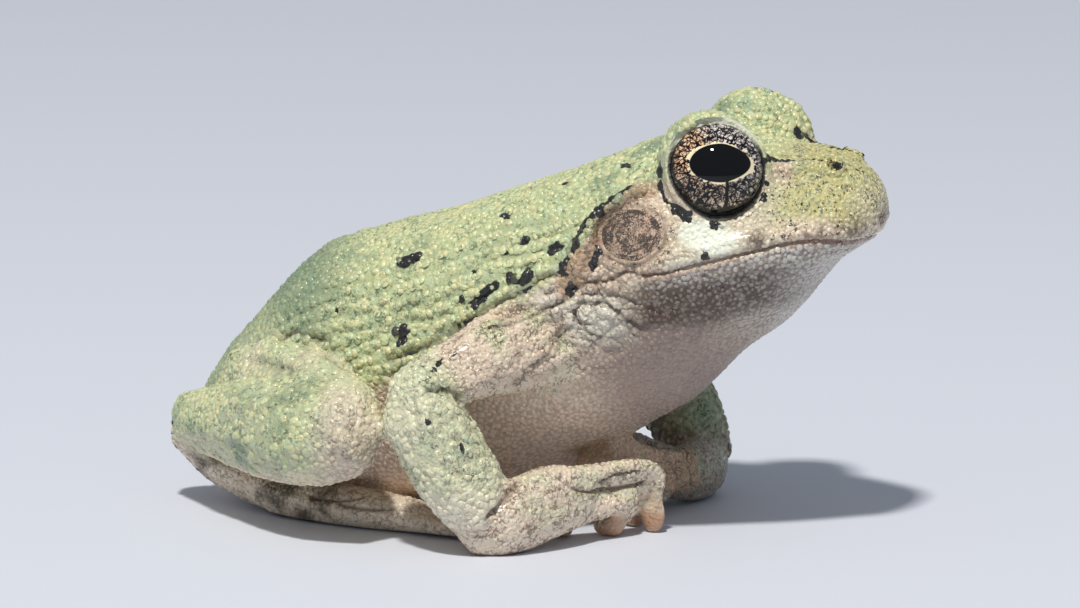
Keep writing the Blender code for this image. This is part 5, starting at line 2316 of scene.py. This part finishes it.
MARKS = (
    Mark(((-5.4, -5.85, 14.6), (-4.6, -6.15, 15.0)), 0.28),
    Mark(((4.04, -7.06, 16.31),), 0.36),
    Mark(((0.37, -4.95, 17.41),), 0.26),
    Mark(((2.21, -6.67, 16.45),), 0.2),
    Mark(((1.05, -6.98, 15.64),), 0.13),
    Mark(((-0.51, -7.35, 14.6),), 0.16),
    Mark(((-1.29, -6.93, 15.02),), 0.14),
    Mark(((-4.53, -8.23, 11.15), (-4.4, -8.3, 10.65)), 0.24),
    Mark(((-8.85, -6.97, 11.87),), 0.16),
    Mark(((6.6, -3.5, 20.45), (7.1, -3.75, 20.55)), 0.2),
    Mark(((3.42, -3.39, 19.31),), 0.16),
    Mark(((7.9, -5.95, 19.45), (7.35, -6.1, 19.1)), 0.26),
    Mark(((7.05, -6.45, 18.8), (6.75, -6.6, 18.35)), 0.26),
    Mark(((6.4, -6.7, 18.0), (6.0, -6.9, 17.15)), 0.4),
    Mark(((5.75, -7.2, 16.75), (5.5, -7.4, 16.25)), 0.26),
    Mark(((5.2, -7.55, 15.75), (4.94, -7.61, 15.15)), 0.24),
    Mark(((5.37, -7.66, 14.15),), 0.3),
    Mark(((6.75, -7.0, 16.3), (6.55, -7.2, 15.6)), 0.16),
    Mark(((2.97, -7.61, 14.93), (2.77, -7.61, 14.5)), 0.2),
    Mark(((2.31, -7.69, 14.42), (1.81, -7.62, 14.54)), 0.18),
    Mark(((0.97, -7.73, 14.11),), 0.2),
    Mark(((0.45, -7.9, 13.75), (-0.2, -8.0, 12.9)), 0.27),
    Mark(((-1.0, -7.98, 13.07),), 0.14),
    Mark(((0.1, -8.15, 12.3), (-0.9, -8.25, 11.75)), 0.1),
    Mark(((3.2, -7.75, 14.2), (2.6, -7.8, 13.85)), 0.1),
    Mark(((10.9, -6.05, 18.65), (11.55, -6.05, 18.38)), 0.27),
    Mark(((12.96, -5.75, 18.3), (13.0, -5.75, 17.9)), 0.22),
    Mark(((15.03, -4.04, 19.18), (15.25, -3.95, 19.35)), 0.16),
    Mark(((15.14, -3.47, 20.02),), 0.13),
    Mark(((9.3, -5.3, 20.85), (9.75, -5.45, 20.6)), 0.24),
    Mark(((9.6, -5.75, 20.1), (10.0, -5.95, 19.3), (10.7, -6.05, 18.8)), 0.09),
    Mark(((14.2, -3.0, 21.0), (14.6, -2.75, 21.05), (15.35, -2.16, 21.1), (15.8, -1.75, 21.05)), 0.13),
    Mark(((16.3, -1.1, 21.1), (17.2, -0.6, 21.05)), 0.12),
    Mark(((-0.57, -12.55, 10.33), (-0.23, -12.26, 10.58)), 0.1, both=False),
    Mark(((0.27, -12.07, 10.69), (0.4, -11.69, 11.07)), 0.08, both=False),
    Mark(((1.56, -13.22, 5.97), (1.4, -13.0, 6.3)), 0.08, both=False),
    Mark(((-0.29, -14.06, 7.72), (-0.1, -13.9, 7.5)), 0.07, both=False),
    # the nostril's opening, painted black: painted shade in its hole
    Mark((NOSTRIL,), 0.24),
    Mark(((12.68, -6.3, 16.32),), 0.17),
    Mark(((13.85, 4.21, 21.4), (13.65, 4.27, 21.87)), 0.24, both=False),
)
COATS = (
    BeadCoat("beads_back", "back_beads", 0.31, 0.275, 0.135, 8, 3, 3),
    BeadCoat("beads_limbs", "limb_beads", 0.31, 0.27, 0.12, 7, 3, 5),
    BeadCoat("beads_small", "small_beads", 0.25, 0.19, 0.085, 6, 2, 7),
    BeadCoat("beads_low", "low_beads", 0.25, 0.18, 0.06, 6, 2, 11),
)


def settle(item: Item, slot: str, *nodes: str) -> None:
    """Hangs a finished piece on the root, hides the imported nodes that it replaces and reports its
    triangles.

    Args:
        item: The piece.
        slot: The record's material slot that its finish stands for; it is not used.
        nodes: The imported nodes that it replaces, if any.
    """
    if nodes:
        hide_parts(*nodes)
    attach(item, "root")
    item.data.calc_loop_triangles()
    LOG.info("%s: %d triangles", item.name, len(item.data.loop_triangles))


def main() -> None:
    """Builds the frog, the floor, the lights and the camera."""
    logging.basicConfig(level=logging.INFO, format="%(message)s")
    bpy.context.scene.view_settings.view_transform = "Standard"
    finish = SkinFinish().material()
    skin = Skin(folds=FOLDS, marks=MARKS)
    skin.build()
    item = skin.surface.item
    finish.dress(item)
    for coat in COATS:
        settle(coat.build(item, finish.material), "skin")
    settle(item, "skin", *node_names())
    eye_finish, drum_finish = EyeFinish().material(), EardrumFinish().material()
    for side in Side:
        eye = Eye(EyeSeat(side)).build()
        eye_finish.dress(eye)
        settle(eye, "eye", "eye_" + side.name.lower())
        drum = Eardrum(DrumSeat(side)).build()
        drum_finish.dress(drum)
        settle(drum, "eardrum", "eardrum_" + side.name.lower())
    Studio().build()
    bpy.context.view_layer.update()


if __name__ == "__main__":
    main()
